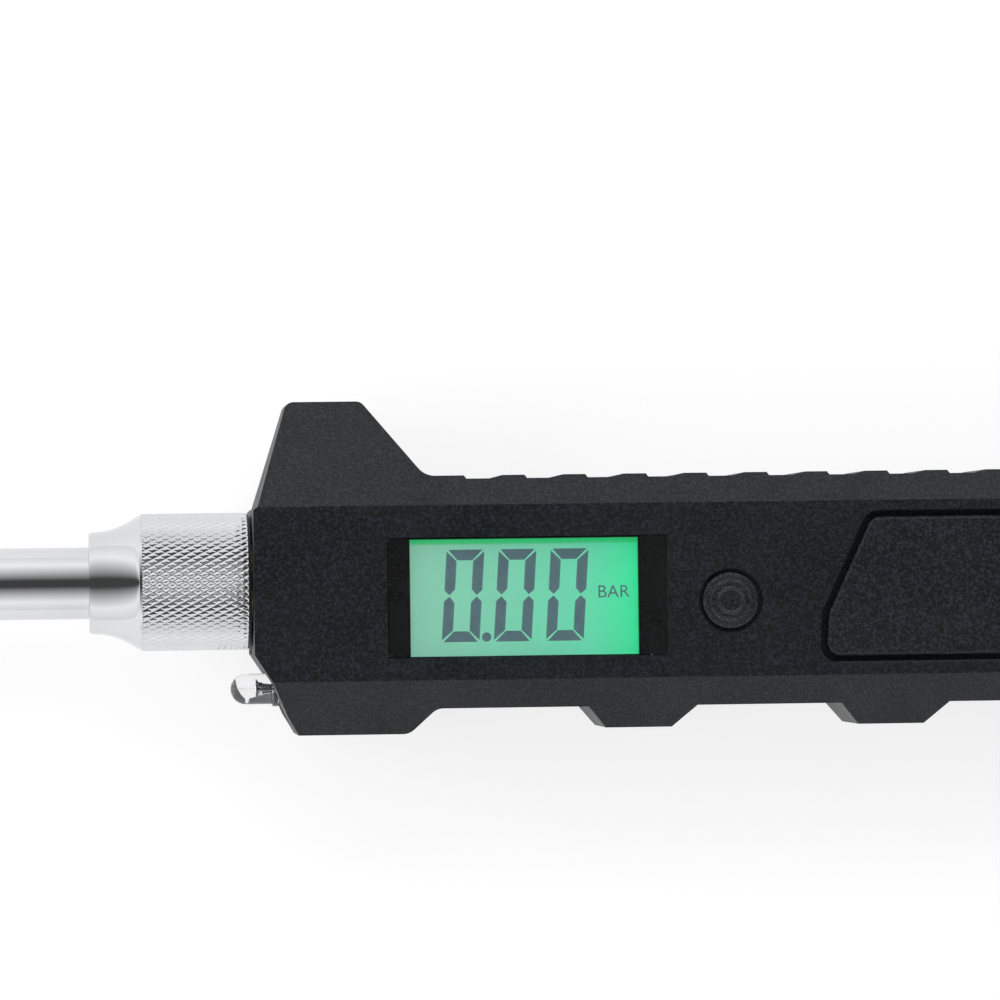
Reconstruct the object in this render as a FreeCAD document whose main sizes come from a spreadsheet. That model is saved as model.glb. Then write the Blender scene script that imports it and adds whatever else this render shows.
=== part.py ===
import FreeCAD, Part
import math
import os
import Sketcher

# Digital tyre pressure gauge: black two-part housing, chrome stem on a union nut,
# dual-mouth chuck.  All lengths are in mm.
#
# Frame: origin on the flat back of the housing, under the stem axis and half way
# along the housing.  +X runs from the stem to the end of the handle, +Z out of the
# display, +Y towards the tall upper guard.
# Sub-parts of the housing are drawn from the middle of its front face: x = 0 is
# that face, y = 0 the stem axis.

DIMENSIONS = [
    ("housing_length", "162"),
    ("housing_depth", "28"),
    ("face_x", "=-housing_length / 2"),
    ("axis_z", "=housing_depth / 2"),
    ("handle_top", "16.1"),
    ("handle_bottom", "-21"),
    ("flat_top", "11.85"),
    ("flat_bottom", "-16.4"),
    ("bevel_slope", "0.4663"),
    ("wall", "2.5"),
    ("cavity_top", "13.9"),
    ("cavity_bottom", "-18.8"),
    ("guard_top", "28.95"),
    ("guard_bottom", "-25.1"),
    ("grip_pitch", "9.85"),
    ("grip_height", "0.53"),
    ("grip_first", "42.45"),
    ("grip_count", "12"),
    ("foot_end", "=grip_first + 2 - grip_pitch"),
    ("bump_pitch", "41.2"),
    ("bump_first", "54"),
    ("bump_bottom", "-24.5"),
    ("screw_seat", "7"),
    ("screw_post_radius", "3"),
    ("window_left", "21.5"),
    ("window_right", "66.9"),
    ("window_top", "6.65"),
    ("window_bottom", "-12.8"),
    ("window_thickness", "1.2"),
    ("window_seat", "1.6"),
    ("window_ledge", "2.4"),
    ("lcd_left", "23.2"),
    ("lcd_length", "41"),
    ("lcd_bottom", "-14.15"),
    ("lcd_width", "22"),
    ("lcd_base", "22.9"),
    ("lcd_thickness", "2.3"),
    ("button_x", "77.1"),
    ("button_y", "-4.15"),
    ("button_radius", "4.6"),
    ("button_travel", "0.8"),
    ("board_left", "20.5"),
    ("board_length", "63.5"),
    ("board_bottom", "-18.2"),
    ("board_width", "31.4"),
    ("board_base", "18"),
    ("board_thickness", "1.6"),
    ("board_top", "=board_base + board_thickness"),
    ("door_left", "92.55"),
    ("door_right", "150"),
    ("door_top", "9.6"),
    ("door_bottom", "-13.8"),
    ("door_thickness", "1.8"),
    ("door_gap", "0.45"),
    ("hinge_x", "148.6"),
    ("hinge_z", "26.9"),
    ("hinge_radius", "0.6"),
    ("tray_left", "95"),
    ("tray_length", "54.6"),
    ("tray_bottom", "-14.3"),
    ("tray_width", "24.4"),
    ("tray_base", "12"),
    ("tray_top", "25.4"),
    ("tray_wall", "1.2"),
    ("cell_radius", "5.25"),
    ("cell_length", "43.5"),
    ("plate_thickness", "0.4"),
    ("nub_length", "1"),
    ("cell_y", "-2.1"),
    ("cell_spacing", "5.45"),
    ("cell_z", "18.5"),
    ("lamp_y", "-17.6"),
    ("lamp_radius", "2.5"),
    ("lamp_flange_radius", "2.9"),
    ("lamp_seat", "4.2"),
    ("lead_spacing", "1.27"),
    ("wire_radius", "0.5"),
    ("spigot_radius", "7"),
    ("spigot_length", "13.9"),
    ("spigot_bore", "4.7"),
    ("block_left", "3"),
    ("block_length", "16"),
    ("block_width", "16"),
    ("block_height", "14"),
    ("passage_radius", "1.5"),
    ("sensor_radius", "3.8"),
    ("sensor_length", "5"),
    ("nut_radius", "11.2"),
    ("nut_face", "-0.2"),
    ("nut_groove", "-18.2"),
    ("nut_end", "-26.45"),
    ("nut_shoulder", "-16.75"),
    ("nut_bore", "7.1"),
    ("bell_radius", "8.3"),
    ("tube_radius", "5.9"),
    ("tube_bore", "4.65"),
    ("collar_face", "-14.1"),
    ("collar_back", "-16.2"),
    ("collar_radius", "6.9"),
    ("chuck_x", "-138"),
    ("chuck_angle", "225"),
    ("barrel_radius", "7.6"),
    ("barrel_half", "20"),
    ("hub_radius", "7.4"),
    ("hub_length", "27"),
    ("tube_socket", "16"),
    ("mouth_radius", "4.25"),
    ("mouth_thread", "6"),
    ("washer_base", "10"),
    ("washer_face", "12.5"),
    ("mouth_end", "21.2"),
    ("chamber_radius", "3.2"),
    ("pin_radius", "1.5"),
]

SCREW_POSTS = [(13, 19.5), (16, -21.6), (88.5, 10.3), (88.5, -15.2), (155, 10.3), (155, -15.2)]
BOARD_POSTS = [(27, 11.6), (27, -17), (81, 11.2), (81, -16.4)]
BLOCK_SCREWS = [(11, 5.6), (11, -5.6)]

doc = FreeCAD.newDocument("tire_pressure_gauge")
sheet = doc.addObject("Spreadsheet::Sheet", "Dim")
for row, (alias, content) in enumerate(DIMENSIONS, start=1):
    sheet.set("A%d" % row, alias)
    sheet.set("B%d" % row, content)
    sheet.setAlias("B%d" % row, alias)
doc.recompute()

sub_parts = []


def read(expression):
    """Number which an expression of the sheet gives now."""
    return float(sheet.evalExpression(str(expression)))


def vector(x, y, z):
    return FreeCAD.Vector(read(x), read(y), read(z))


def register(obj, name):
    obj.Label = name
    sub_parts.append(obj)
    return obj


def new_body(name, x="Dim.face_x", y="0", z="0", turn="0"):
    """Empty body with its own origin at (x, y, z), turned about Z."""
    body = doc.addObject("PartDesign::Body", name)
    body.Placement = FreeCAD.Placement(
        vector(x, y, z), FreeCAD.Rotation(FreeCAD.Vector(0, 0, 1), read(turn)))
    body.setExpression("Placement.Base.x", x)
    body.setExpression("Placement.Base.y", y)
    body.setExpression("Placement.Base.z", z)
    return register(body, name)


def new_sketch(body, name, role="XY_Plane", offset="0"):
    """Sketch on one of the body's own planes, moved along its normal."""
    plane = next(item for item in body.Origin.OriginFeatures if item.Role == role)
    sketch = body.newObject("Sketcher::SketchObject", body.Name + "_" + name)
    sketch.AttachmentSupport = [(plane, "")]
    sketch.MapMode = "FlatFace"
    sketch.setExpression("AttachmentOffset.Base.z", str(offset))
    return sketch


def fix_point(sketch, index, end, x, y):
    """Hold one end of a line or the centre of a circle at sheet dimensions."""
    for kind, expression in (("DistanceX", x), ("DistanceY", y)):
        number = sketch.addConstraint(
            Sketcher.Constraint(kind, -1, 1, index, end, read(expression)))
        sketch.setExpression("Constraints[%d]" % number, str(expression))


def draw_polygon(sketch, points):
    """Closed outline through (x, y) or, for an arc to this point, (x, y, mid_x, mid_y)."""
    first = sketch.GeometryCount
    count = len(points)
    for index, end in enumerate(points):
        start = points[index - 1]
        start_point = vector(start[0], start[1], 0)
        end_point = vector(end[0], end[1], 0)
        if len(end) == 4:
            middle = vector(end[2], end[3], 0)
            curve = Part.Arc(start_point, middle, end_point).toShape().Curve
            arc = Part.ArcOfCircle(curve, *sorted_angles(curve, start_point, middle, end_point))
            sketch.addGeometry(arc, False)
        else:
            sketch.addGeometry(Part.LineSegment(start_point, end_point), False)
    for index, end in enumerate(points):
        if len(end) == 2:
            fix_point(sketch, first + index, 2, end[0], end[1])
    for index in range(count):
        following = (index + 1) % count
        if len(points[index]) == 2 and len(points[following]) == 2:
            sketch.addConstraint(
                Sketcher.Constraint("Coincident", first + index, 2, first + following, 1))
    return first


def sorted_angles(circle, start, middle, end):
    """Angles of an arc from its start to its end, anticlockwise."""
    angles = [circle.parameter(point) for point in (start, middle, end)]
    low, centre, high = angles[0], angles[1], angles[2]
    span = (high - low) % (2 * math.pi)
    if (centre - low) % (2 * math.pi) > span:
        low, high = high, low
        span = 2 * math.pi - span
    return low, low + span


def draw_rectangle(sketch, left, bottom, right, top):
    draw_polygon(sketch, [(left, bottom), (right, bottom), (right, top), (left, top)])


def draw_circle(sketch, x, y, radius):
    index = sketch.addGeometry(
        Part.Circle(vector(x, y, 0), FreeCAD.Vector(0, 0, 1), read(radius)), False)
    fix_point(sketch, index, 3, x, y)
    number = sketch.addConstraint(Sketcher.Constraint("Radius", index, read(radius)))
    sketch.setExpression("Constraints[%d]" % number, str(radius))


def extrude(body, kind, name, sketch, length, reverse=False, symmetric=False):
    """Pad or pocket of a sketch by a sheet length."""
    feature = body.newObject("PartDesign::" + kind, body.Name + "_" + name)
    feature.Profile = sketch
    feature.Reversed = reverse
    if symmetric:
        feature.SideType = "Symmetric"
    feature.setExpression("Length", str(length))
    sketch.Visibility = False
    body.Tip = feature
    return feature


def revolve(body, kind, name, sketch, axis="H_Axis"):
    feature = body.newObject("PartDesign::" + kind, body.Name + "_" + name)
    feature.Profile = sketch
    feature.ReferenceAxis = (sketch, [axis])
    feature.Angle = 360
    body.Tip = feature
    return feature


def fillet(body, name, radius, chosen):
    """Round the edges of the newest feature which the test picks."""
    doc.recompute()
    base = body.Tip
    names = ["Edge%d" % number
             for number, edge in enumerate(base.Shape.Edges, start=1) if chosen(edge)]
    feature = body.newObject("PartDesign::Fillet", body.Name + "_" + name)
    feature.Base = (base, names)
    feature.setExpression("Radius", str(radius))
    body.Tip = feature
    return feature


def chamfer(body, name, size, chosen):
    doc.recompute()
    base = body.Tip
    names = ["Edge%d" % number
             for number, edge in enumerate(base.Shape.Edges, start=1) if chosen(edge)]
    feature = body.newObject("PartDesign::Chamfer", body.Name + "_" + name)
    feature.Base = (base, names)
    feature.setExpression("Size", str(size))
    body.Tip = feature
    return feature


def row_of(body, name, feature, sketch, count, length):
    """Repeat a feature along the sketch's horizontal axis."""
    pattern = body.newObject("PartDesign::LinearPattern", body.Name + "_" + name)
    pattern.Originals = [feature]
    pattern.Direction = (sketch, ["H_Axis"])
    pattern.setExpression("Length", str(length))
    pattern.setExpression("Occurrences", str(count))
    body.Tip = pattern
    return pattern


def turned(name, points, z="Dim.axis_z", x="Dim.face_x", turn="0", y="0"):
    """Body of revolution about its own X axis from (x, radius) points."""
    body = new_body(name, x=x, y=y, z=z, turn=turn)
    sketch = new_sketch(body, "profile")
    draw_polygon(sketch, points)
    revolve(body, "Revolution", "turning", sketch)
    return body


def upright(name, points, x, y):
    """Body of revolution about its own Z axis from (radius, z) points."""
    body = new_body(name, x="Dim.face_x + " + x, y=y)
    sketch = new_sketch(body, "profile", "XZ_Plane")
    draw_polygon(sketch, points)
    revolve(body, "Revolution", "turning", sketch, "V_Axis")
    return body


def block(name, left, bottom, right, top, base, height):
    """Rectangular plate lying parallel to the display."""
    body = new_body(name)
    sketch = new_sketch(body, "outline", offset=base)
    draw_rectangle(sketch, left, bottom, right, top)
    extrude(body, "Pad", "plate", sketch, height)
    return body


def vertical(edge):
    first, last = edge.Vertexes[0].Point, edge.Vertexes[-1].Point
    return abs(first.x - last.x) < 0.01 and abs(first.y - last.y) < 0.01 and edge.Length > 0.5


def near(points, reach=0.2):
    """Test for vertical edges which stand at one of the (x, y) points."""
    def chosen(edge):
        if not vertical(edge):
            return False
        foot = edge.Vertexes[0].Point
        return any(math.hypot(foot.x - x, foot.y - y) < reach for x, y in points)
    return chosen


def group(name, shapes):
    """Several identical solids which share one name."""
    feature = doc.addObject("Part::Feature", name)
    feature.Shape = Part.makeCompound(shapes)
    feature.setExpression("Placement.Base.x", "Dim.face_x")
    return register(feature, name)


# ---------------------------------------------------------------- housing shells

OUTLINE = [
    ("0", "-12"), ("2.95", "-16.5"), ("5.3", "-22"), ("7.1", "Dim.guard_bottom"),
    ("25", "Dim.guard_bottom"), ("29.4", "Dim.handle_bottom"),
    ("Dim.housing_length", "Dim.handle_bottom"), ("Dim.housing_length", "Dim.handle_top"),
    ("Dim.foot_end", "Dim.handle_top"), ("Dim.foot_end - 0.4", "Dim.handle_top + Dim.grip_height"),
    ("27.9", "Dim.handle_top + Dim.grip_height"), ("17.9", "Dim.guard_top"), ("5.85", "Dim.guard_top"),
    ("0.7", "11.9"), ("0", "11.4"),
]
HANDLE_CAVITY = [
    ("2.6", "-10.8"), ("5.6", "-15.9"), ("8.2", "Dim.cavity_bottom"),
    ("Dim.housing_length - Dim.wall", "Dim.cavity_bottom"),
    ("Dim.housing_length - Dim.wall", "Dim.cavity_top"),
    ("3.9", "Dim.cavity_top"), ("2.6", "9.6"),
]
UPPER_GUARD_CAVITY = [
    ("4.1", "13.8"), ("8", "26.3"), ("16.6", "26.3"), ("26.4", "14.6"), ("26.4", "13.8"),
]
LOWER_GUARD_CAVITY = [
    ("8", "-18.7"), ("9.2", "-22.8"), ("23", "-22.8"), ("26.6", "-18.7"),
]


def new_shell(name, front):
    """Half of the housing on one side of the parting plane, hollow, with posts."""
    body = new_body(name)
    mirror = "Dim.housing_depth" if front else "0"
    inward = "-1" if front else "1"

    outline = new_sketch(body, "outline", offset="Dim.axis_z")
    draw_polygon(outline, OUTLINE)
    extrude(body, "Pad", "blank", outline, "Dim.axis_z", reverse=not front)
    fillet(body, "guard_corners", "1.6", near([(17.9, 28.95), (5.85, 28.95)]))
    fillet(body, "upper_foot", "3.4", near([(27.9, 16.63)]))
    fillet(body, "lower_feet", "2.6", near([(25, -25.1), (29.4, -21)]))
    fillet(body, "end_corners", "6", near([(162, 16.1), (162, -21)]))

    pad = new_sketch(body, "grip", offset="Dim.axis_z")
    draw_polygon(pad, [
        ("Dim.grip_first - 4", "Dim.handle_top - 0.5"), ("Dim.grip_first + 2", "Dim.handle_top - 0.5"),
        ("Dim.grip_first + 2", "Dim.handle_top"), ("Dim.grip_first + 1.6", "Dim.handle_top + Dim.grip_height"),
        ("Dim.grip_first - 2", "Dim.handle_top + Dim.grip_height"), ("Dim.grip_first - 4", "Dim.handle_top"),
    ])
    grip = extrude(body, "Pad", "grip_pad", pad, "Dim.axis_z", reverse=not front)
    row_of(body, "grip_pads", grip, pad, "Dim.grip_count", "Dim.grip_pitch * (Dim.grip_count - 1)")

    bump = new_sketch(body, "bump", offset="Dim.axis_z")
    draw_polygon(bump, [
        ("Dim.bump_first", "Dim.handle_bottom"), ("Dim.bump_first + 2.9", "Dim.bump_bottom"),
        ("Dim.bump_first + 13.6", "Dim.bump_bottom"), ("Dim.bump_first + 17.7", "Dim.handle_bottom"),
        ("Dim.bump_first + 17.7", "Dim.handle_bottom + 0.5"), ("Dim.bump_first", "Dim.handle_bottom + 0.5"),
    ])
    first_bump = extrude(body, "Pad", "finger_bump", bump, "Dim.axis_z", reverse=not front)
    row_of(body, "finger_bumps", first_bump, bump, "3", "Dim.bump_pitch * 2")

    bevels = new_sketch(body, "bevels", "YZ_Plane")
    reach = "40"
    draw_polygon(bevels, [
        ("Dim.flat_top", mirror), (reach, mirror),
        (reach, "%s + %s * Dim.bevel_slope * (%s - Dim.flat_top)" % (mirror, inward, reach)),
    ])
    extrude(body, "Pocket", "upper_bevel", bevels, "400", symmetric=True)
    lower = new_sketch(body, "lower_bevels", "YZ_Plane")
    draw_polygon(lower, [
        ("Dim.flat_bottom", mirror), ("-" + reach, mirror),
        ("-" + reach, "%s + %s * Dim.bevel_slope * (%s + Dim.flat_bottom)" % (mirror, inward, reach)),
    ])
    extrude(body, "Pocket", "lower_bevel", lower, "400", symmetric=True)

    depths = (("cavity", HANDLE_CAVITY, "Dim.axis_z - Dim.wall"),
              ("upper_guard", UPPER_GUARD_CAVITY, "3.8"),
              ("lower_guard", LOWER_GUARD_CAVITY, "7.4"))
    for label, points, depth in depths:
        sketch = new_sketch(body, label, offset="Dim.axis_z")
        draw_polygon(sketch, points)
        extrude(body, "Pocket", label + "_hollow", sketch, depth, reverse=front)

    posts = new_sketch(body, "posts", offset="Dim.axis_z")
    for x, y in SCREW_POSTS:
        draw_circle(posts, x, y, "Dim.screw_post_radius")
    extrude(body, "Pad", "screw_posts", posts, "Dim.axis_z - 6", reverse=not front)
    doc.recompute()
    return body


def axial_hole(body, name, y, radius, start, length):
    """Round hole along X on the parting plane."""
    sketch = new_sketch(body, name, "YZ_Plane", offset=start)
    draw_circle(sketch, y, "Dim.axis_z", radius)
    extrude(body, "Pocket", name + "_hole", sketch, length, reverse=True)


def shared_holes(body):
    """Half holes for the spigot and the lamp, cut in both shells."""
    axial_hole(body, "spigot", "0", "Dim.spigot_radius + 0.05", "-1", "5")
    axial_hole(body, "lamp_seat", "Dim.lamp_y", "Dim.lamp_flange_radius + 0.05", "-1", "Dim.lamp_seat + 1.05")
    axial_hole(body, "lamp_leads", "Dim.lamp_y", "2", "3", "8")


front_shell = new_shell("front_shell", True)
tall_posts = new_sketch(front_shell, "tall_posts", offset="Dim.axis_z + 7")
for post_x, post_y in SCREW_POSTS[2:]:
    draw_circle(tall_posts, post_x, post_y, "Dim.screw_post_radius")
extrude(front_shell, "Pad", "tall_screw_posts", tall_posts, "5")
board_posts = new_sketch(front_shell, "board_posts", offset="Dim.board_top")
for post_x, post_y in BOARD_POSTS:
    draw_circle(board_posts, post_x, post_y, "1.9")
extrude(front_shell, "Pad", "board_post_pads", board_posts, "6.5")
block_posts = new_sketch(front_shell, "block_posts", offset="Dim.axis_z + Dim.block_height / 2")
for post_x, post_y in BLOCK_SCREWS:
    draw_circle(block_posts, post_x, post_y, "2.4")
extrude(front_shell, "Pad", "block_post_pads", block_posts, "5")
pilot_holes = new_sketch(front_shell, "pilot_holes", offset="Dim.axis_z")
for post_x, post_y in SCREW_POSTS:
    draw_circle(pilot_holes, post_x, post_y, "1.3")
extrude(front_shell, "Pocket", "pilot_pockets", pilot_holes, "7", reverse=True)
small_holes = new_sketch(front_shell, "small_holes", offset="Dim.board_top - 0.5")
for post_x, post_y in BOARD_POSTS:
    draw_circle(small_holes, post_x, post_y, "0.9")
extrude(front_shell, "Pocket", "small_pilot_pockets", small_holes, "4.5", reverse=True)
block_holes = new_sketch(front_shell, "block_holes", offset="Dim.axis_z + Dim.block_height / 2 - 1")
for post_x, post_y in BLOCK_SCREWS:
    draw_circle(block_holes, post_x, post_y, "1.1")
extrude(front_shell, "Pocket", "block_pilot_pockets", block_holes, "4.5", reverse=True)
shared_holes(front_shell)

window_recess = new_sketch(front_shell, "window_recess", offset="Dim.housing_depth")
draw_rectangle(window_recess, "Dim.window_left", "Dim.window_bottom", "Dim.window_right", "Dim.window_top")
extrude(front_shell, "Pocket", "window_seat", window_recess, "Dim.window_seat")
window_hole = new_sketch(front_shell, "window_hole", offset="Dim.housing_depth")
draw_rectangle(window_hole, "Dim.window_left + Dim.window_ledge", "Dim.window_bottom",
               "Dim.window_right - Dim.window_ledge", "Dim.window_top")
extrude(front_shell, "Pocket", "window_opening", window_hole, "4")

button_ring = new_sketch(front_shell, "button_ring", offset="Dim.housing_depth")
draw_circle(button_ring, "Dim.button_x", "Dim.button_y", "Dim.button_radius + 0.6")
extrude(front_shell, "Pocket", "button_groove", button_ring, "0.8")
button_hole = new_sketch(front_shell, "button_hole", offset="Dim.housing_depth")
draw_circle(button_hole, "Dim.button_x", "Dim.button_y", "Dim.button_radius + 0.1")
extrude(front_shell, "Pocket", "button_opening", button_hole, "4")


def door_outline(gap):
    """Outline of the battery door, grown on every side by the gap."""
    return [
        ("Dim.door_left - 0.35 - %s" % gap, "Dim.door_bottom - %s" % gap),
        ("Dim.door_right + %s" % gap, "Dim.door_bottom - %s" % gap),
        ("Dim.door_right + %s" % gap, "Dim.door_top + %s" % gap),
        ("Dim.door_left + 7.45 - 0.64 * %s" % gap, "Dim.door_top + %s" % gap),
        ("Dim.door_left - 1.03 * %s" % gap, "-6.5 + 0.2 * %s" % gap),
    ]


def door_corners(gap):
    """Left corners of the door's outline as numbers: bottom, top and side."""
    points = [(read(x), read(y)) for x, y in door_outline(gap)]
    return points[0], points[3], points[4]


door_recess = new_sketch(front_shell, "door_recess", offset="Dim.housing_depth")
draw_polygon(door_recess, door_outline("Dim.door_gap"))
extrude(front_shell, "Pocket", "door_seat", door_recess, "Dim.door_thickness + 0.05")
fillet(front_shell, "door_seat_corners", "2.6", near(door_corners("Dim.door_gap")))
door_hole = new_sketch(front_shell, "door_hole", offset="Dim.housing_depth")
draw_polygon(door_hole, [
    ("97.8", "Dim.door_bottom + 0.9"), ("Dim.door_right + Dim.door_gap", "Dim.door_bottom + 0.9"),
    ("Dim.door_right + Dim.door_gap", "Dim.door_top - 0.9"), ("101.4", "Dim.door_top - 0.9"), ("97.8", "1.1"),
])
extrude(front_shell, "Pocket", "door_opening", door_hole, "4")
knuckle_room = new_sketch(front_shell, "knuckle_room", offset="Dim.housing_depth")
draw_rectangle(knuckle_room, "Dim.hinge_x - 2", "Dim.door_bottom - Dim.door_gap",
               "Dim.door_right + Dim.door_gap", "Dim.door_top + Dim.door_gap")
extrude(front_shell, "Pocket", "knuckle_pocket", knuckle_room, "4")
pivot_holes = new_sketch(front_shell, "pivot_holes", "XZ_Plane", offset="2.1")
draw_circle(pivot_holes, "Dim.hinge_x", "Dim.hinge_z", "Dim.hinge_radius + 0.05")
extrude(front_shell, "Pocket", "pivot_pockets", pivot_holes, "26.5", symmetric=True)


def door_rim(edge):
    """Edges of the door's opening on the flat front face."""
    return all(vertex.Point.z > 27.95 and 90 < vertex.Point.x < 150.5
               and -14.3 < vertex.Point.y < 10.2 for vertex in edge.Vertexes)


chamfer(front_shell, "door_seat_rim", "0.3", door_rim)

rear_shell = new_shell("rear_shell", False)
ribs = new_sketch(rear_shell, "ribs", offset="2")
for rib_x in ("104", "140"):
    draw_rectangle(ribs, rib_x, "-14", rib_x + " + 1.6", "10")
extrude(rear_shell, "Pad", "tray_ribs", ribs, "Dim.tray_base - 2")
low_posts = new_sketch(rear_shell, "low_posts", offset="1")
for post_x, post_y in SCREW_POSTS[2:]:
    draw_circle(low_posts, post_x, post_y, "Dim.screw_post_radius + 0.9")
extrude(rear_shell, "Pad", "low_screw_posts", low_posts, "Dim.screw_seat + 1.5")
wells = new_sketch(rear_shell, "wells", offset="-1")
for post_x, post_y in SCREW_POSTS:
    draw_circle(wells, post_x, post_y, "2.7")
extrude(rear_shell, "Pocket", "screw_wells", wells, "Dim.screw_seat + 1", reverse=True)
through = new_sketch(rear_shell, "through", offset="-1")
for post_x, post_y in SCREW_POSTS:
    draw_circle(through, post_x, post_y, "1.65")
extrude(rear_shell, "Pocket", "screw_clearance", through, "20", reverse=True)
shared_holes(rear_shell)


def screw(x, y, seat, head_radius, head_height, shank_radius, shank_length):
    """Screw with its head under the seat, pointing up, with a cross recess."""
    head = Part.makeCylinder(head_radius, head_height, vector(x, y, seat - head_height))
    shank = Part.makeCylinder(shank_radius, shank_length, vector(x, y, seat))
    solid = head.fuse(shank).removeSplitter()
    slot_width = head_radius * 0.3
    slot_length = head_radius * 1.3
    slot_depth = head_height * 0.55
    for length, width in ((slot_length, slot_width), (slot_width, slot_length)):
        corner = vector(x - length / 2, y - width / 2, seat - head_height)
        solid = solid.cut(Part.makeBox(length, width, slot_depth, corner))
    return solid


group("housing_screws", [screw(x, y, read("Dim.screw_seat"), 2.6, 2, 1.3, 13)
                         for x, y in SCREW_POSTS])
group("board_screws", [screw(x, y, read("Dim.board_base"), 1.7, 1, 0.9, 5)
                       for x, y in BOARD_POSTS])
group("manifold_screws", [screw(x, y, read("Dim.axis_z - Dim.block_height / 2"), 2, 1.4, 1.1, 17)
                          for x, y in BLOCK_SCREWS])

# ---------------------------------------------------------------- display and button

block("display_window", "Dim.window_left + 0.15", "Dim.window_bottom + 0.15",
      "Dim.window_right - 0.15", "Dim.window_top - 0.15",
      "Dim.housing_depth - Dim.window_seat", "Dim.window_thickness")
block("lcd_panel", "Dim.lcd_left", "Dim.lcd_bottom", "Dim.lcd_left + Dim.lcd_length",
      "Dim.lcd_bottom + Dim.lcd_width", "Dim.lcd_base", "Dim.lcd_thickness")
block("backlight_panel", "Dim.lcd_left + 0.6", "Dim.lcd_bottom + 2.2",
      "Dim.lcd_left + Dim.lcd_length - 0.6", "Dim.lcd_bottom + Dim.lcd_width - 2.2",
      "Dim.board_top", "Dim.lcd_base - Dim.board_top")

lcd_frame = block("lcd_frame", "Dim.lcd_left - 1", "Dim.lcd_bottom - 0.9",
                  "Dim.lcd_left + Dim.lcd_length + 1", "Dim.lcd_bottom + Dim.lcd_width + 0.9",
                  "Dim.board_top", "Dim.lcd_base + Dim.lcd_thickness - Dim.board_top")
frame_hole = new_sketch(lcd_frame, "hole", offset="Dim.board_top")
draw_rectangle(frame_hole, "Dim.lcd_left - 0.1", "Dim.lcd_bottom - 0.1",
               "Dim.lcd_left + Dim.lcd_length + 0.1", "Dim.lcd_bottom + Dim.lcd_width + 0.1")
extrude(lcd_frame, "Pocket", "opening", frame_hole, "10", reverse=True)

strip_height = read("Dim.lcd_base - Dim.board_top")
group("zebra_strips", [
    Part.makeBox(read("Dim.lcd_length - 2"), 1.4, strip_height,
                 vector("Dim.lcd_left + 1", strip_y, "Dim.board_top"))
    for strip_y in (read("Dim.lcd_bottom + 0.3"), read("Dim.lcd_bottom + Dim.lcd_width - 1.7"))])

circuit_board = block("circuit_board", "Dim.board_left", "Dim.board_bottom",
                      "Dim.board_left + Dim.board_length", "Dim.board_bottom + Dim.board_width",
                      "Dim.board_base", "Dim.board_thickness")
board_holes = new_sketch(circuit_board, "holes", offset="Dim.board_base")
for post_x, post_y in BOARD_POSTS:
    draw_circle(board_holes, post_x, post_y, "1.1")
extrude(circuit_board, "Pocket", "screw_holes", board_holes, "5", reverse=True)

upright("chip_blob", [("0", "0"), ("5", "0"), ("0.5", "-1.8", "3.6", "-1.3"), ("0", "-1.8")],
        "52", "-3").setExpression("Placement.Base.z", "Dim.board_base")

upright("button_cap", [
    ("0", "24.2"), ("Dim.button_radius + 1", "24.2"), ("Dim.button_radius + 1", "25.2"),
    ("Dim.button_radius", "25.2"), ("Dim.button_radius", "27.9"), ("0.3", "28.6", "2.5", "28.42"),
    ("0", "28.6"),
], "Dim.button_x", "Dim.button_y")

switch_body = block("switch_body", "Dim.button_x - 3", "Dim.button_y - 3", "Dim.button_x + 3",
                    "Dim.button_y + 3", "Dim.board_top", "3.5")
plunger_bore = new_sketch(switch_body, "bore", offset="Dim.board_top + 3.5")
draw_circle(plunger_bore, "Dim.button_x", "Dim.button_y", "1.75")
extrude(switch_body, "Pocket", "plunger_bore_cut", plunger_bore, "2.5")
upright("switch_plunger", [("0", "21.5"), ("1.7", "21.5"), ("1.7", "24.18"), ("0", "24.18")],
        "Dim.button_x", "Dim.button_y")

# ---------------------------------------------------------------- battery bay

battery_door = new_body("battery_door")
door_sketch = new_sketch(battery_door, "outline", offset="Dim.housing_depth - Dim.door_thickness")
draw_polygon(door_sketch, door_outline("-Dim.door_gap"))
extrude(battery_door, "Pad", "panel", door_sketch, "Dim.door_thickness")
fillet(battery_door, "corners", "2.1", near(door_corners("-Dim.door_gap")))
chamfer(battery_door, "rim", "0.4",
        lambda edge: min(vertex.Point.z for vertex in edge.Vertexes) > 27.9)
knuckle = new_sketch(battery_door, "knuckle", "XZ_Plane", offset="2.1")
draw_circle(knuckle, "Dim.hinge_x", "Dim.hinge_z", "Dim.hinge_radius")
extrude(battery_door, "Pad", "pivots", knuckle,
        "Dim.door_top - Dim.door_bottom + 1.8", symmetric=True)
tongue = new_sketch(battery_door, "tongue", offset="Dim.housing_depth - Dim.door_thickness + 0.2")
draw_rectangle(tongue, "98.4", "-6.5", "99.4", "0.6")
extrude(battery_door, "Pad", "latch_tongue", tongue, "2.2", reverse=True)

battery_tray = block("battery_tray", "Dim.tray_left", "Dim.tray_bottom",
                     "Dim.tray_left + Dim.tray_length", "Dim.tray_bottom + Dim.tray_width",
                     "Dim.tray_base", "Dim.tray_top - Dim.tray_base")
tray_room = new_sketch(battery_tray, "room", offset="Dim.tray_top")
draw_rectangle(tray_room, "Dim.tray_left + Dim.tray_wall", "Dim.tray_bottom + Dim.tray_wall",
               "Dim.tray_left + Dim.tray_length - Dim.tray_wall",
               "Dim.tray_bottom + Dim.tray_width - Dim.tray_wall")
extrude(battery_tray, "Pocket", "cell_room", tray_room, "Dim.tray_top - Dim.tray_base - Dim.tray_wall")
wire_ports = new_sketch(battery_tray, "wire_ports", "YZ_Plane", offset="Dim.tray_left - 1")
for side in ("-", "+"):
    draw_circle(wire_ports, "Dim.cell_y %s Dim.cell_spacing" % side, "15", "Dim.wire_radius + 0.2")
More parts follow.
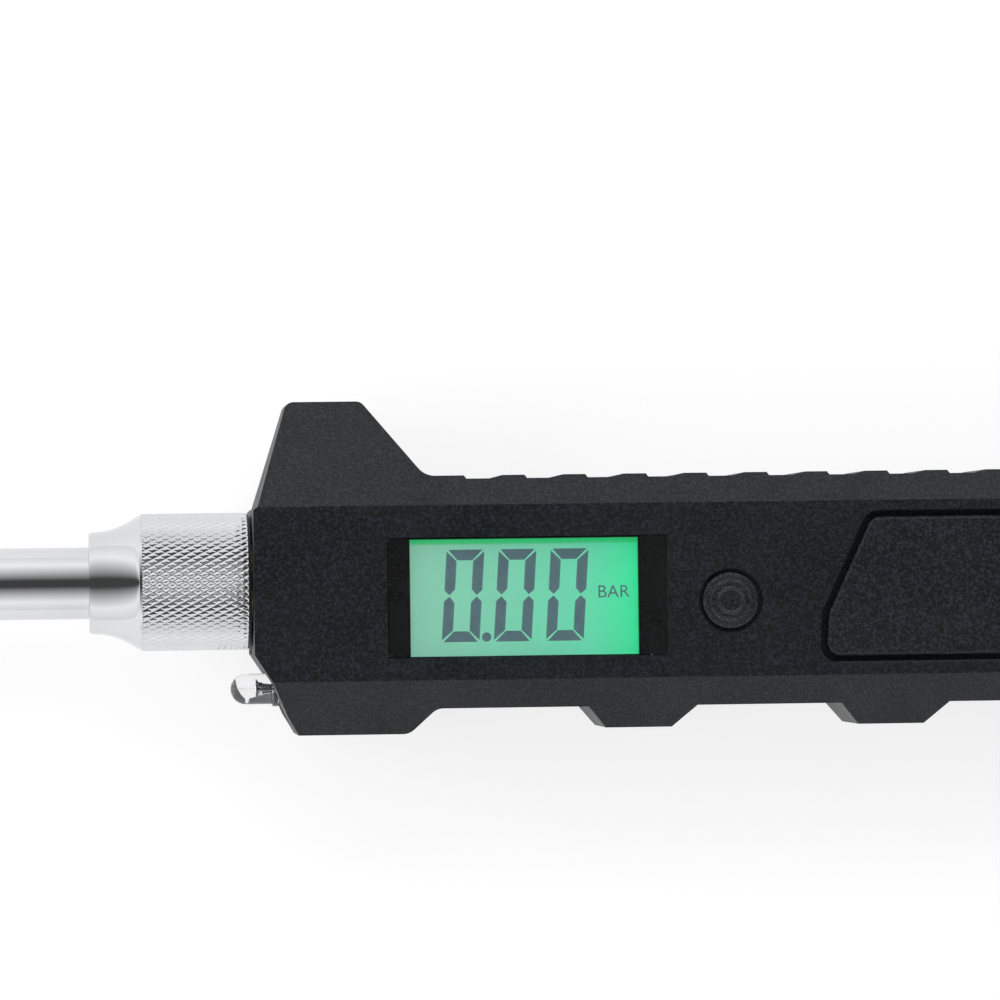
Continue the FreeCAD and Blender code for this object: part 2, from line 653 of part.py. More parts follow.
extrude(battery_tray, "Pocket", "wire_port_holes", wire_ports, "Dim.tray_wall + 2", reverse=True)


LEFT_STOP = "Dim.tray_left + Dim.tray_wall + Dim.plate_thickness"
RIGHT_STOP = "Dim.tray_left + Dim.tray_length - Dim.tray_wall - Dim.plate_thickness"


def cell(side):
    """AAA cell; the nub points to -X for side 1 and to +X for side -1."""
    length = read("Dim.cell_length")
    can_left = read(LEFT_STOP + " + Dim.nub_length")
    if side < 0:
        can_left = read(RIGHT_STOP + " - Dim.nub_length") - length
    start = vector(can_left, read("Dim.cell_y") + side * read("Dim.cell_spacing"), "Dim.cell_z")
    direction = FreeCAD.Vector(1, 0, 0)
    can = Part.makeCylinder(read("Dim.cell_radius"), length, start, direction)
    can = can.makeFillet(0.6, [edge for edge in can.Edges if edge.Closed])
    nub_length = read("Dim.nub_length")
    nub_start = start - direction * nub_length if side > 0 else start + direction * length
    return can.fuse(Part.makeCylinder(1.9, nub_length, nub_start, direction)).removeSplitter()


group("battery_cells", [cell(1), cell(-1)])


def coil(name, x, y, z, turn, radius, wire, pitch, height):
    """Round wire wound about its own X axis."""
    body = new_body(name, x=x, y=y, z=z, turn=turn)
    sketch = new_sketch(body, "wire")
    draw_circle(sketch, "0", radius, wire)
    helix = body.newObject("PartDesign::AdditiveHelix", name + "_winding")
    helix.Profile = sketch
    helix.ReferenceAxis = (sketch, ["H_Axis"])
    helix.Mode = "pitch-height-angle"
    helix.setExpression("Pitch", pitch)
    helix.setExpression("Height", height)
    helix.Growth = 0
    helix.Angle = 0
    body.Tip = helix
    return body


coil("left_contact_spring", "Dim.face_x + %s + 0.4" % LEFT_STOP,
     "Dim.cell_y - Dim.cell_spacing", "Dim.cell_z", "0", "3", "0.35", "1.5", "6")
coil("right_contact_spring", "Dim.face_x + %s - 6.4" % RIGHT_STOP,
     "Dim.cell_y + Dim.cell_spacing", "Dim.cell_z", "0", "3", "0.35", "1.5", "6")

plate_left = read("Dim.tray_left + Dim.tray_wall")
group("contact_plates", [
    Part.makeBox(read("Dim.plate_thickness"), 9, 9, vector(plate_left, read("Dim.cell_y") + side * read("Dim.cell_spacing") - 4.5, 14))
    for side in (-1, 1)])
block("bridge_plate", RIGHT_STOP, "Dim.cell_y - 10",
      RIGHT_STOP + " + Dim.plate_thickness", "Dim.cell_y + 10", "14", "9")

# ---------------------------------------------------------------- lamp and wires


def wire(y, z, start_x, end_x, radius, top_z, bend=2.0):
    """Wire which runs level along X and then turns up to the board."""
    sign = 1.0 if end_x > start_x else -1.0
    turn_x = end_x - sign * bend
    half = bend * math.sqrt(0.5)
    corner = FreeCAD.Vector(turn_x + sign * half, y, z + bend - half)
    path = Part.Wire([
        Part.makeLine(FreeCAD.Vector(start_x, y, z), FreeCAD.Vector(turn_x, y, z)),
        Part.Arc(FreeCAD.Vector(turn_x, y, z), corner, FreeCAD.Vector(end_x, y, z + bend)).toShape(),
        Part.makeLine(FreeCAD.Vector(end_x, y, z + bend), FreeCAD.Vector(end_x, y, top_z)),
    ])
    ring = Part.makeCircle(radius, FreeCAD.Vector(start_x, y, z), FreeCAD.Vector(sign, 0, 0))
    return path.makePipeShell([Part.Wire(ring)], True, True)


turned("led_lamp", [
    ("Dim.lamp_seat", "0"), ("Dim.lamp_seat", "Dim.lamp_flange_radius"),
    ("Dim.lamp_seat - 1", "Dim.lamp_flange_radius"), ("Dim.lamp_seat - 1", "Dim.lamp_radius"),
    ("-1.1", "Dim.lamp_radius"), ("-3.59", "0.25", "-2.868", "1.768"), ("-3.59", "0"),
], y="Dim.lamp_y")
lamp_back = read("Dim.lamp_seat")
lamp_line = read("Dim.lamp_y")
group("led_leads", [
    Part.makeCylinder(0.25, 4.8, vector(lamp_back, lamp_line, read("Dim.axis_z") + side * read("Dim.lead_spacing")),
                      FreeCAD.Vector(1, 0, 0))
    for side in (-1, 1)])
axis_height = read("Dim.axis_z")
lead = read("Dim.lead_spacing")
wire_size = read("Dim.wire_radius")
board_under = read("Dim.board_base")
group("led_wires", [
    wire(lamp_line, axis_height - lead, 9, 33, wire_size, board_under),
    wire(lamp_line, axis_height + lead, 9, 30.5, wire_size, board_under)])
sensor_end = read("Dim.block_left + Dim.block_length + Dim.sensor_length")
group("sensor_wires", [wire(offset, axis_height, sensor_end, sensor_end + 7, wire_size, board_under)
                       for offset in (-1.8, 0, 1.8)])
group("battery_wires", [
    wire(read("Dim.cell_y") + side * read("Dim.cell_spacing"), 15, plate_left, 80, wire_size, board_under)
    for side in (-1, 1)])

# ---------------------------------------------------------------- air path

manifold = turned("manifold", [
    ("-Dim.spigot_length", "Dim.spigot_bore"), ("-Dim.spigot_length", "Dim.spigot_radius - 0.5"),
    ("-Dim.spigot_length + 0.5", "Dim.spigot_radius"), ("Dim.block_left + 1", "Dim.spigot_radius"),
    ("Dim.block_left + 1", "Dim.passage_radius"), ("-4", "Dim.passage_radius"), ("-4", "Dim.spigot_bore"),
])
block_face = new_sketch(manifold, "block_face", "YZ_Plane", offset="Dim.block_left")
draw_rectangle(block_face, "-Dim.block_width / 2", "-Dim.block_height / 2",
               "Dim.block_width / 2", "Dim.block_height / 2")
extrude(manifold, "Pad", "valve_block", block_face, "Dim.block_length")
air_way = new_sketch(manifold, "air_way", "YZ_Plane", offset="Dim.block_left - 1")
draw_circle(air_way, "0", "0", "Dim.passage_radius")
extrude(manifold, "Pocket", "air_passage", air_way, "Dim.block_length + 2", reverse=True)
screw_ways = new_sketch(manifold, "screw_ways", offset="-Dim.block_height")
for post_x, post_y in BLOCK_SCREWS:
    draw_circle(screw_ways, post_x, post_y, "1.2")
extrude(manifold, "Pocket", "screw_passages", screw_ways, "Dim.block_height * 2", reverse=True)

turned("pressure_sensor", [
    ("Dim.block_left + Dim.block_length", "0"), ("Dim.block_left + Dim.block_length", "Dim.sensor_radius"),
    ("Dim.block_left + Dim.block_length + Dim.sensor_length", "Dim.sensor_radius"),
    ("Dim.block_left + Dim.block_length + Dim.sensor_length", "0"),
])

turned("coupling_nut", [
    ("Dim.nut_face", "Dim.nut_bore"), ("Dim.nut_face", "Dim.nut_radius - 0.6"),
    ("Dim.nut_face - 0.6", "Dim.nut_radius"), ("Dim.nut_groove + 0.15", "Dim.nut_radius"),
    ("Dim.nut_groove + 0.15", "Dim.nut_radius - 0.4"), ("Dim.nut_groove - 0.15", "Dim.nut_radius - 0.4"),
    ("Dim.nut_groove - 0.15", "Dim.nut_radius"), ("Dim.nut_groove - 0.3", "Dim.nut_radius"),
    ("Dim.nut_end + 1.3", "Dim.bell_radius", "Dim.nut_end + 5", "Dim.bell_radius + 0.93"),
    ("Dim.nut_end", "Dim.bell_radius"), ("Dim.nut_end", "Dim.tube_radius + 0.1"),
    ("Dim.nut_shoulder", "Dim.tube_radius + 0.1"), ("Dim.nut_shoulder", "Dim.nut_bore"),
])
turned("nut_washer", [
    ("Dim.nut_shoulder + 0.02", "Dim.tube_radius + 0.15"), ("Dim.nut_shoulder + 0.02", "Dim.collar_radius"),
    ("Dim.collar_back - 0.03", "Dim.collar_radius"), ("Dim.collar_back - 0.03", "Dim.tube_radius + 0.15"),
])
turned("stem_collar", [
    ("-5", "2"), ("-5", "Dim.tube_bore"), ("-8.7", "Dim.tube_bore"), ("-8.7", "3.7"), ("-9.9", "3.7"),
    ("-9.9", "Dim.tube_bore"), ("Dim.collar_face", "Dim.tube_bore"),
    ("Dim.collar_face", "Dim.collar_radius"), ("Dim.collar_back", "Dim.collar_radius"),
    ("Dim.collar_back", "Dim.tube_bore"), ("-24", "Dim.tube_bore"), ("-24", "2"),
])
o_ring = new_body("stem_o_ring", z="Dim.axis_z")
o_ring_section = new_sketch(o_ring, "section")
draw_circle(o_ring_section, "-9.3", "4.19", "0.48")
revolve(o_ring, "Revolution", "ring", o_ring_section)
turned("stem_tube", [
    ("Dim.collar_back", "Dim.tube_bore"), ("Dim.collar_back", "Dim.tube_radius"),
    ("Dim.chuck_x + Dim.tube_socket", "Dim.tube_radius"), ("Dim.chuck_x + Dim.tube_socket", "Dim.tube_bore"),
])

# ---------------------------------------------------------------- dual chuck

chuck = turned("chuck_body", [
    ("0", "0"), ("0", "Dim.hub_radius"), ("Dim.hub_length - 1", "Dim.hub_radius"),
    ("Dim.hub_length", "Dim.hub_radius - 1"), ("Dim.hub_length", "0"),
], x="Dim.face_x + Dim.chuck_x")


def along_barrel(kind, name, start, length, radius):
    """Cylinder on the barrel axis, from one distance to another."""
    angle = math.radians(read("Dim.chuck_angle"))
    direction = FreeCAD.Vector(math.cos(angle), math.sin(angle), 0)
    feature = chuck.newObject("PartDesign::" + kind + "Cylinder", "chuck_body_" + name)
    plane = next(item for item in chuck.Origin.OriginFeatures if item.Role == "XY_Plane")
    feature.AttachmentSupport = [(plane, "")]
    feature.MapMode = "FlatFace"
    feature.AttachmentOffset = FreeCAD.Placement(
        direction * read(start), FreeCAD.Rotation(FreeCAD.Vector(0, 0, 1), direction))
    feature.setExpression("Radius", radius)
    feature.setExpression("Height", length)
    chuck.Tip = feature


along_barrel("Additive", "barrel", "-Dim.barrel_half", "Dim.barrel_half * 2", "Dim.barrel_radius")
along_barrel("Subtractive", "front_thread", "Dim.washer_base", "20", "Dim.mouth_thread")
along_barrel("Subtractive", "rear_thread", "-Dim.washer_base - 20", "20", "Dim.mouth_thread")
along_barrel("Subtractive", "front_chamber", "4", "6.5", "Dim.chamber_radius")
along_barrel("Subtractive", "rear_chamber", "-10.5", "6.5", "Dim.chamber_radius")
along_barrel("Subtractive", "cross_passage", "-5", "10", "Dim.passage_radius")
hub_bores = new_sketch(chuck, "bores")
draw_polygon(hub_bores, [
    ("0", "0"), ("0", "Dim.passage_radius"), ("Dim.tube_socket", "Dim.passage_radius"),
    ("Dim.tube_socket", "Dim.tube_radius"), ("Dim.hub_length + 1", "Dim.tube_radius"),
    ("Dim.hub_length + 1", "0"),
])
revolve(chuck, "Groove", "socket", hub_bores)

for label, turn in (("front", "Dim.chuck_angle"), ("rear", "Dim.chuck_angle - 180")):
    spot = {"x": "Dim.face_x + Dim.chuck_x", "turn": turn}
    turned(label + "_nozzle", [
        ("Dim.washer_face + 0.05", "Dim.mouth_radius"), ("Dim.washer_face + 0.05", "Dim.mouth_thread"),
        ("Dim.barrel_half", "Dim.mouth_thread"), ("Dim.barrel_half", "Dim.barrel_radius - 0.3"),
        ("Dim.mouth_end - 0.3", "Dim.barrel_radius - 0.3"), ("Dim.mouth_end", "Dim.barrel_radius - 0.6"),
        ("Dim.mouth_end", "Dim.mouth_radius"),
    ], **spot)
    turned(label + "_washer", [
        ("Dim.washer_base", "Dim.pin_radius + 0.06"), ("Dim.washer_base", "Dim.mouth_thread - 0.1"),
        ("Dim.washer_face", "Dim.mouth_thread - 0.1"), ("Dim.washer_face", "Dim.pin_radius + 0.06"),
    ], **spot)
    turned(label + "_pin", [
        ("5.2", "0"), ("5.2", "1"), ("8.6", "1"), ("8.6", "2.8"), ("9.95", "2.8"),
        ("9.95", "Dim.pin_radius"), ("Dim.washer_face - 0.3", "Dim.pin_radius"),
        ("Dim.washer_face", "Dim.pin_radius - 0.3"), ("Dim.washer_face", "0"),
    ], **spot)

BARREL = math.radians(read("Dim.chuck_angle"))
for label, turn, side in (("front", "Dim.chuck_angle", 1), ("rear", "Dim.chuck_angle - 180", -1)):
    shift = 4.4 * side
    coil(label + "_spring", "Dim.face_x + Dim.chuck_x + %.6f" % (shift * math.cos(BARREL)),
         "%.6f" % (shift * math.sin(BARREL)), "Dim.axis_z", turn, "2.2", "0.3", "0.95", "3.8")

# ---------------------------------------------------------------- checks and export

doc.recompute()
for item in doc.Objects:
    if "Invalid" in item.State or "Error" in item.State:
        raise RuntimeError("%s is %s" % (item.Name, item.State))
os.makedirs("parts", exist_ok=True)
for item in sub_parts:
    if item.Shape.isNull() or not item.Shape.isValid():
        raise RuntimeError("%s has no valid shape" % item.Label)
    item.Shape.exportStep("parts/%s.step" % item.Label)
    box = item.Shape.BoundBox
    print("%-22s %9.1f mm3  x %.2f..%.2f  y %.2f..%.2f  z %.2f..%.2f" % (
        item.Label, item.Shape.Volume, box.XMin, box.XMax, box.YMin, box.YMax, box.ZMin, box.ZMax))
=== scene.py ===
import math
import bmesh
import bpy
from mathutils import Matrix, Vector


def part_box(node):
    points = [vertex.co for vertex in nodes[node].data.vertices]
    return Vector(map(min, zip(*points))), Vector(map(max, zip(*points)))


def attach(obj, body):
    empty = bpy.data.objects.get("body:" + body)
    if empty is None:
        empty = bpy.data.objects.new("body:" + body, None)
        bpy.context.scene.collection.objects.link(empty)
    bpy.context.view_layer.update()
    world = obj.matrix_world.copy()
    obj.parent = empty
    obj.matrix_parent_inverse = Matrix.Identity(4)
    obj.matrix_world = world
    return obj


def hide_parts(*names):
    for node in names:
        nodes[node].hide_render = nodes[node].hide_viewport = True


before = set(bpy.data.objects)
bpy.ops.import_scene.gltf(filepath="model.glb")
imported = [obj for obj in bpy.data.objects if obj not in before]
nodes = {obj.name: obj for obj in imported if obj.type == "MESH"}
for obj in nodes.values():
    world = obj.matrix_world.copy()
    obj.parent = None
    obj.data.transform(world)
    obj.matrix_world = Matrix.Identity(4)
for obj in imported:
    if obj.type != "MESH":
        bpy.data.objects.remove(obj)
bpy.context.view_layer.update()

MM = 0.001
scene = bpy.context.scene

# ------------------------------------------------------------ places in the frame

SHELL_LOW, SHELL_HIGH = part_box("front_shell")
FACE_X = SHELL_LOW.x
FRONT_Z = SHELL_HIGH.z
TUBE_LOW, TUBE_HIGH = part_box("stem_tube")
AXIS_Z = (TUBE_LOW.z + TUBE_HIGH.z) / 2
TUBE_RADIUS = (TUBE_HIGH.z - TUBE_LOW.z) / 2
NUT_LOW, NUT_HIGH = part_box("coupling_nut")
WINDOW_LOW, WINDOW_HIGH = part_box("display_window")
LCD_LOW, LCD_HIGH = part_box("lcd_panel")
BUTTON_LOW, BUTTON_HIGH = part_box("button_cap")
LAMP_LOW, LAMP_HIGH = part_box("led_lamp")

# The front face is flat between these two y values, and its bevels fall away beyond them.
FLAT_TOP = 11.85 * MM
FLAT_BOTTOM = -16.4 * MM
BEVEL_SLOPE = math.tan(math.radians(25))

# A turned outline which closes on its axis stops at this radius.
NEAR_AXIS = 0.02 * MM

# ------------------------------------------------------------ material helpers

# Factors on a plastic's colour in the pits and on the tips of its grain: painted shade in the pits and
# painted highlight on the tips.
GRAIN_PAINTED_SHADE = 0.1
GRAIN_PAINTED_HIGHLIGHT = 3.16
GRAIN_RELIEF = 0.8
SCRATCH_DEPTH = 0.004 * MM


def new_material(name):
    material = bpy.data.materials.new(name)
    material.use_nodes = True
    return material, material.node_tree, material.node_tree.nodes["Principled BSDF"]


def texture(tree, kind, **values):
    """Texture node fed with object coordinates in metres."""
    node = tree.nodes.new("ShaderNodeTex" + kind)
    coordinates = tree.nodes.new("ShaderNodeTexCoord")
    tree.links.new(coordinates.outputs["Object"], node.inputs["Vector"])
    for key, value in values.items():
        node.inputs[key].default_value = value
    return node


def span(tree, axis, low, high):
    """Place along an object axis: 0 at low and 1 at high."""
    coordinates = tree.nodes.new("ShaderNodeTexCoord")
    split = tree.nodes.new("ShaderNodeSeparateXYZ")
    place = tree.nodes.new("ShaderNodeMapRange")
    place.inputs["From Min"].default_value = low
    place.inputs["From Max"].default_value = high
    tree.links.new(coordinates.outputs["Object"], split.inputs["Vector"])
    tree.links.new(split.outputs[axis], place.inputs["Value"])
    return place.outputs["Result"]


def ramp(tree, source, stops):
    """Colour ramp from (place, colour or grey) stops."""
    node = tree.nodes.new("ShaderNodeValToRGB")
    elements = node.color_ramp.elements
    while len(elements) < len(stops):
        elements.new(0.5)
    for element, (place, colour) in zip(elements, stops):
        element.position = place
        if isinstance(colour, (int, float)):
            colour = (colour, colour, colour)
        element.color = (*colour, 1)
    tree.links.new(source, node.inputs["Fac"])
    return node.outputs["Color"]


def blend(tree, factor, first, second):
    """Mix of two colours, each a socket or a plain (red, green, blue)."""
    node = tree.nodes.new("ShaderNodeMix")
    node.data_type = "RGBA"
    tree.links.new(factor, node.inputs["Factor"])
    for key, source in (("A", first), ("B", second)):
        if isinstance(source, tuple):
            node.inputs[key].default_value = (*source, 1)
        else:
            tree.links.new(source, node.inputs[key])
    return node.outputs["Result"]


def add_bump(tree, shader, height, strength, distance):
    """Fine relief; distance is its depth in metres."""
    node = tree.nodes.new("ShaderNodeBump")
    node.inputs["Strength"].default_value = strength
    node.inputs["Distance"].default_value = distance
    tree.links.new(height, node.inputs["Height"])
    tree.links.new(node.outputs["Normal"], shader.inputs["Normal"])


def shade(colour, factor):
    """Colour made darker or lighter by a factor."""
    return tuple(channel * factor for channel in colour)


def moulded_plastic(name, colour, roughness=0.5, grain=2300, depth=0.00004):
    """Moulded plastic with spark-eroded grain, painted shade in its pits, painted highlight on its tips, and
    faint handling marks.
    """
    material, tree, shader = new_material(name)
    fine = texture(tree, "Noise", Scale=grain, Detail=3.0, Roughness=0.6)
    broad = texture(tree, "Noise", Scale=90.0, Detail=4.0)
    # Grain tone on the bump's own noise: painted shade in the pits, painted highlight on the tips.
    colours = ramp(tree, fine.outputs["Fac"],
                   [(0.38, shade(colour, GRAIN_PAINTED_SHADE)), (0.5, colour), (0.62, shade(colour, GRAIN_PAINTED_HIGHLIGHT))])
    tree.links.new(colours, shader.inputs["Base Color"])
    worn = ramp(tree, broad.outputs["Fac"], [(0.35, roughness + 0.05), (0.65, roughness - 0.05)])
    tree.links.new(worn, shader.inputs["Roughness"])
    add_bump(tree, shader, fine.outputs["Fac"], GRAIN_RELIEF, depth)
    return material


def metal(name, colour, roughness=0.1, brush=(900, 900, 900)):
    """Plated or machined metal; brush stretches the scratches, (x, y, z) scales in 1/m."""
    material, tree, shader = new_material(name)
    shader.inputs["Metallic"].default_value = 1.0
    scratches = texture(tree, "Noise", Scale=1.0, Detail=5.0, Roughness=0.7)
    mapping = tree.nodes.new("ShaderNodeMapping")
    mapping.inputs["Scale"].default_value = brush
    tree.links.new(scratches.inputs["Vector"].links[0].from_socket, mapping.inputs["Vector"])
    tree.links.new(mapping.outputs["Vector"], scratches.inputs["Vector"])
    smudges = texture(tree, "Noise", Scale=60.0, Detail=3.0)
    tone = ramp(tree, smudges.outputs["Fac"], [(0.3, shade(colour, 0.96)), (0.7, shade(colour, 1.02))])
    tree.links.new(tone, shader.inputs["Base Color"])
    polish = ramp(tree, scratches.outputs["Fac"], [(0.3, roughness * 0.75), (0.7, roughness * 1.3)])
    tree.links.new(polish, shader.inputs["Roughness"])
    add_bump(tree, shader, scratches.outputs["Fac"], 0.3, SCRATCH_DEPTH)
    return material


def rubber(name, colour, roughness=0.65):
    material, tree, shader = new_material(name)
    dust = texture(tree, "Noise", Scale=700.0, Detail=5.0)
    tree.links.new(ramp(tree, dust.outputs["Fac"], [(0.3, colour), (0.75, shade(colour, 1.7))]),
                   shader.inputs["Base Color"])
    shader.inputs["Roughness"].default_value = roughness
    add_bump(tree, shader, dust.outputs["Fac"], 0.4, 0.00003)
    return material


def clear_material(name, colour, roughness=0.03, ior=1.49):
    """Clear moulded part with faint flow lines."""
    material, tree, shader = new_material(name)
    shader.inputs["Transmission Weight"].default_value = 1.0
    shader.inputs["IOR"].default_value = ior
    flow = texture(tree, "Noise", Scale=220.0, Detail=2.0)
    tree.links.new(ramp(tree, flow.outputs["Fac"], [(0.3, colour), (0.7, shade(colour, 0.97))]),
                   shader.inputs["Base Color"])
    tree.links.new(ramp(tree, flow.outputs["Fac"], [(0.3, roughness), (0.7, roughness * 1.6)]),
                   shader.inputs["Roughness"])
    add_bump(tree, shader, flow.outputs["Fac"], 0.05, 0.00002)
    return material


# ------------------------------------------------------------ mesh helpers

# Edges which turn by more than the first angle are rounded; flats within the second are joined.
SHARP_TURN = math.radians(17)
FLAT_TURN = math.radians(0.3)


def keep_flats(obj):
    """Corner normals weighted by face area, so a flat stays flat up to its rounded edge."""
    weighting = obj.modifiers.new("weighting", "WEIGHTED_NORMAL")
    weighting.mode = "FACE_AREA"
    weighting.keep_sharp = True
    depsgraph = bpy.context.evaluated_depsgraph_get()
    weighted = bpy.data.meshes.new_from_object(obj.evaluated_get(depsgraph), depsgraph=depsgraph)
    plain = obj.data
    mesh_name = plain.name
    obj.modifiers.clear()
    obj.data = weighted
    bpy.data.meshes.remove(plain)
    weighted.name = mesh_name


def finish_piece(obj, body, slot, material, *replaced, smooth=35, flats=True):
    """Material, shading, body and the CAD nodes which the piece stands for; slot is not used."""
    obj.data.materials.clear()
    obj.data.materials.append(material)
    obj.data.shade_smooth()
    obj.data.set_sharp_from_angle(angle=math.radians(smooth))
    if flats:
        keep_flats(obj)
    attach(obj, body)
    if replaced:
        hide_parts(*replaced)
    return obj


def object_from(name, bm):
    """Object in the scene from a mesh under construction, which is used up."""
    bmesh.ops.recalc_face_normals(bm, faces=bm.faces)
    mesh = bpy.data.meshes.new(name)
    bm.to_mesh(mesh)
    bm.free()
    obj = bpy.data.objects.new(name, mesh)
    scene.collection.objects.link(obj)
    return obj


def rounded(points, radius, steps=5):
    """Polygon whose corners are replaced by arcs of the given radius."""
    result = []
    for index, point in enumerate(points):
        corner = Vector(point)
        before = (Vector(points[index - 1]) - corner).normalized()
        after = (Vector(points[(index + 1) % len(points)]) - corner).normalized()
        half = before.angle(after) / 2
        reach = radius / math.tan(half)
        centre = corner + (before + after).normalized() * (radius / math.sin(half))
        start_arm = corner + before * reach - centre
        end_arm = corner + after * reach - centre
        sweep = start_arm.angle_signed(end_arm)
        for step in range(steps + 1):
            angle = -sweep * step / steps
            turned = Vector((start_arm.x * math.cos(angle) - start_arm.y * math.sin(angle),
                             start_arm.x * math.sin(angle) + start_arm.y * math.cos(angle)))
            result.append(tuple(centre + turned))
    return result


def lathe(name, profile, centre, axis=(1, 0, 0), segments=128, relief=None):
    """Solid turned from a closed (along, radius) profile about an axis through centre."""
    bm = bmesh.new()
    turn = Vector((1, 0, 0)).rotation_difference(Vector(axis)).to_matrix()
    rings = []
    for along, radius in profile:
        ring = []
        for step in range(segments):
            angle = 2 * math.pi * step / segments
            shown = radius - (relief(along, angle) if relief else 0)
            point = Vector((along, shown * math.sin(angle), shown * math.cos(angle)))
            ring.append(bm.verts.new(Vector(centre) + turn @ point))
        rings.append(ring)
    for index, ring in enumerate(rings):
        following = rings[(index + 1) % len(rings)]
        for step in range(segments):
            after = (step + 1) % segments
            bm.faces.new((ring[step], ring[after], following[after], following[step]))
    bmesh.ops.remove_doubles(bm, verts=bm.verts, dist=1e-7)
    return object_from(name, bm)


def copy_rounded(node, name, choose, sizes):
    """Copy of a CAD node's mesh with chosen edges rounded; sizes maps a class to a radius."""
    bm = bmesh.new()
    bm.from_mesh(nodes[node].data)
    bmesh.ops.remove_doubles(bm, verts=bm.verts, dist=1e-6)
    bmesh.ops.dissolve_limit(bm, angle_limit=FLAT_TURN, verts=bm.verts, edges=bm.edges)
    bm.normal_update()
    for label, size in sizes.items():
        picked = [edge for edge in bm.edges
                  if edge.is_manifold and edge.calc_face_angle(0) > SHARP_TURN
                  and choose(edge) == label]
        if picked:
            bmesh.ops.bevel(bm, geom=picked, offset=size, segments=3, profile=0.5,
                            affect="EDGES", clamp_overlap=True)
            bm.normal_update()
    return object_from(name, bm)


# ------------------------------------------------------------ materials

BLACK = (0.0042, 0.0066, 0.0088)
black_plastic = moulded_plastic("black_plastic", BLACK)
door_plastic = moulded_plastic("door_plastic", (0.0062, 0.0088, 0.0112))
button_plastic = moulded_plastic("button_plastic", (0.009, 0.0115, 0.0135), roughness=0.42, grain=3200,
                                 depth=0.00001)
inner_plastic = moulded_plastic("inner_plastic", (0.02, 0.02, 0.02), roughness=0.55)
frame_plastic = moulded_plastic("frame_plastic", (0.75, 0.75, 0.72), roughness=0.4, depth=0.00001)
border_print = moulded_plastic("border_print", (0.006, 0.0065, 0.008), roughness=0.3, depth=0.000002)
tube_chrome = metal("tube_chrome", (0.68, 0.685, 0.70), 0.07, brush=(30, 1500, 1500))
nut_chrome = metal("nut_chrome", (0.68, 0.685, 0.70), 0.08, brush=(1500, 60, 60))
chuck_metal = metal("chuck_metal", (0.72, 0.72, 0.73), 0.24, brush=(1200, 1200, 300))
mouth_metal = metal("mouth_metal", (0.78, 0.77, 0.74), 0.2, brush=(1500, 1500, 1500))
brass = metal("plain_brass", (0.75, 0.55, 0.24), 0.25, brush=(1800, 200, 200))
steel = metal("screw_steel", (0.42, 0.42, 0.43), 0.35, brush=(1500, 1500, 1500))
spring_steel = metal("spring_steel", (0.62, 0.62, 0.63), 0.25)
plate_steel = metal("plate_steel", (0.7, 0.69, 0.66), 0.28, brush=(200, 2000, 200))
sensor_steel = metal("sensor_steel", (0.6, 0.6, 0.61), 0.3)
seal_rubber = rubber("seal_rubber", (0.012, 0.012, 0.012))
strip_rubber = rubber("contact_rubber", (0.08, 0.08, 0.09))
wire_sleeve = rubber("wire_sleeve", (0.3, 0.012, 0.01), 0.4)
potting = rubber("potting", (0.006, 0.006, 0.006), 0.2)
window_clear = clear_material("clear_window", (0.97, 0.98, 0.97))
lamp_clear = clear_material("clear_lamp", (0.98, 0.98, 0.99), 0.02, 1.53)

# CAD nodes which are shown as they are.
NODE_MATERIALS = {
    "stem_tube": tube_chrome, "battery_tray": inner_plastic, "switch_body": inner_plastic,
    "switch_plunger": inner_plastic,
    "lcd_frame": frame_plastic, "zebra_strips": strip_rubber, "chip_blob": potting,
    "led_leads": spring_steel, "led_wires": wire_sleeve, "sensor_wires": wire_sleeve,
    "battery_wires": wire_sleeve, "housing_screws": steel, "board_screws": steel,
    "manifold_screws": steel, "left_contact_spring": spring_steel,
    "right_contact_spring": spring_steel, "contact_plates": plate_steel,
    "bridge_plate": plate_steel, "manifold": brass, "stem_collar": brass, "nut_washer": brass,
    "pressure_sensor": sensor_steel, "stem_o_ring": seal_rubber, "front_washer": seal_rubber,
    "rear_washer": seal_rubber, "front_pin": brass, "rear_pin": brass,
    "front_spring": spring_steel, "rear_spring": spring_steel,
}


def circuit_board_material():
    """Green solder resist over copper tracks."""
    material, tree, shader = new_material("board_green")
    tracks = texture(tree, "Brick", Scale=420.0)
    tracks.inputs["Color1"].default_value = (0.012, 0.11, 0.045, 1)
    tracks.inputs["Color2"].default_value = (0.008, 0.075, 0.03, 1)
    tracks.inputs["Mortar"].default_value = (0.03, 0.2, 0.07, 1)
    tracks.inputs["Mortar Size"].default_value = 0.05
    tree.links.new(tracks.outputs["Color"], shader.inputs["Base Color"])
    shader.inputs["Roughness"].default_value = 0.3
    add_bump(tree, shader, tracks.outputs["Fac"], 0.4, 0.00003)
    return material


def cell_material():
    """Printed sleeve of a dry cell with a metal band near the nub."""
    material, tree, shader = new_material("cell_can")
    low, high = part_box("battery_cells")
    bands = ramp(tree, span(tree, "X", low.x, high.x),
                 [(0.0, (0.02, 0.09, 0.16)), (0.45, (0.03, 0.14, 0.22)), (0.9, (0.5, 0.3, 0.1))])
    tree.links.new(bands, shader.inputs["Base Color"])
    shader.inputs["Metallic"].default_value = 0.6
    scuffs = texture(tree, "Noise", Scale=500.0, Detail=4.0)
    tree.links.new(ramp(tree, scuffs.outputs["Fac"], [(0.3, 0.25), (0.7, 0.4)]), shader.inputs["Roughness"])
    return material


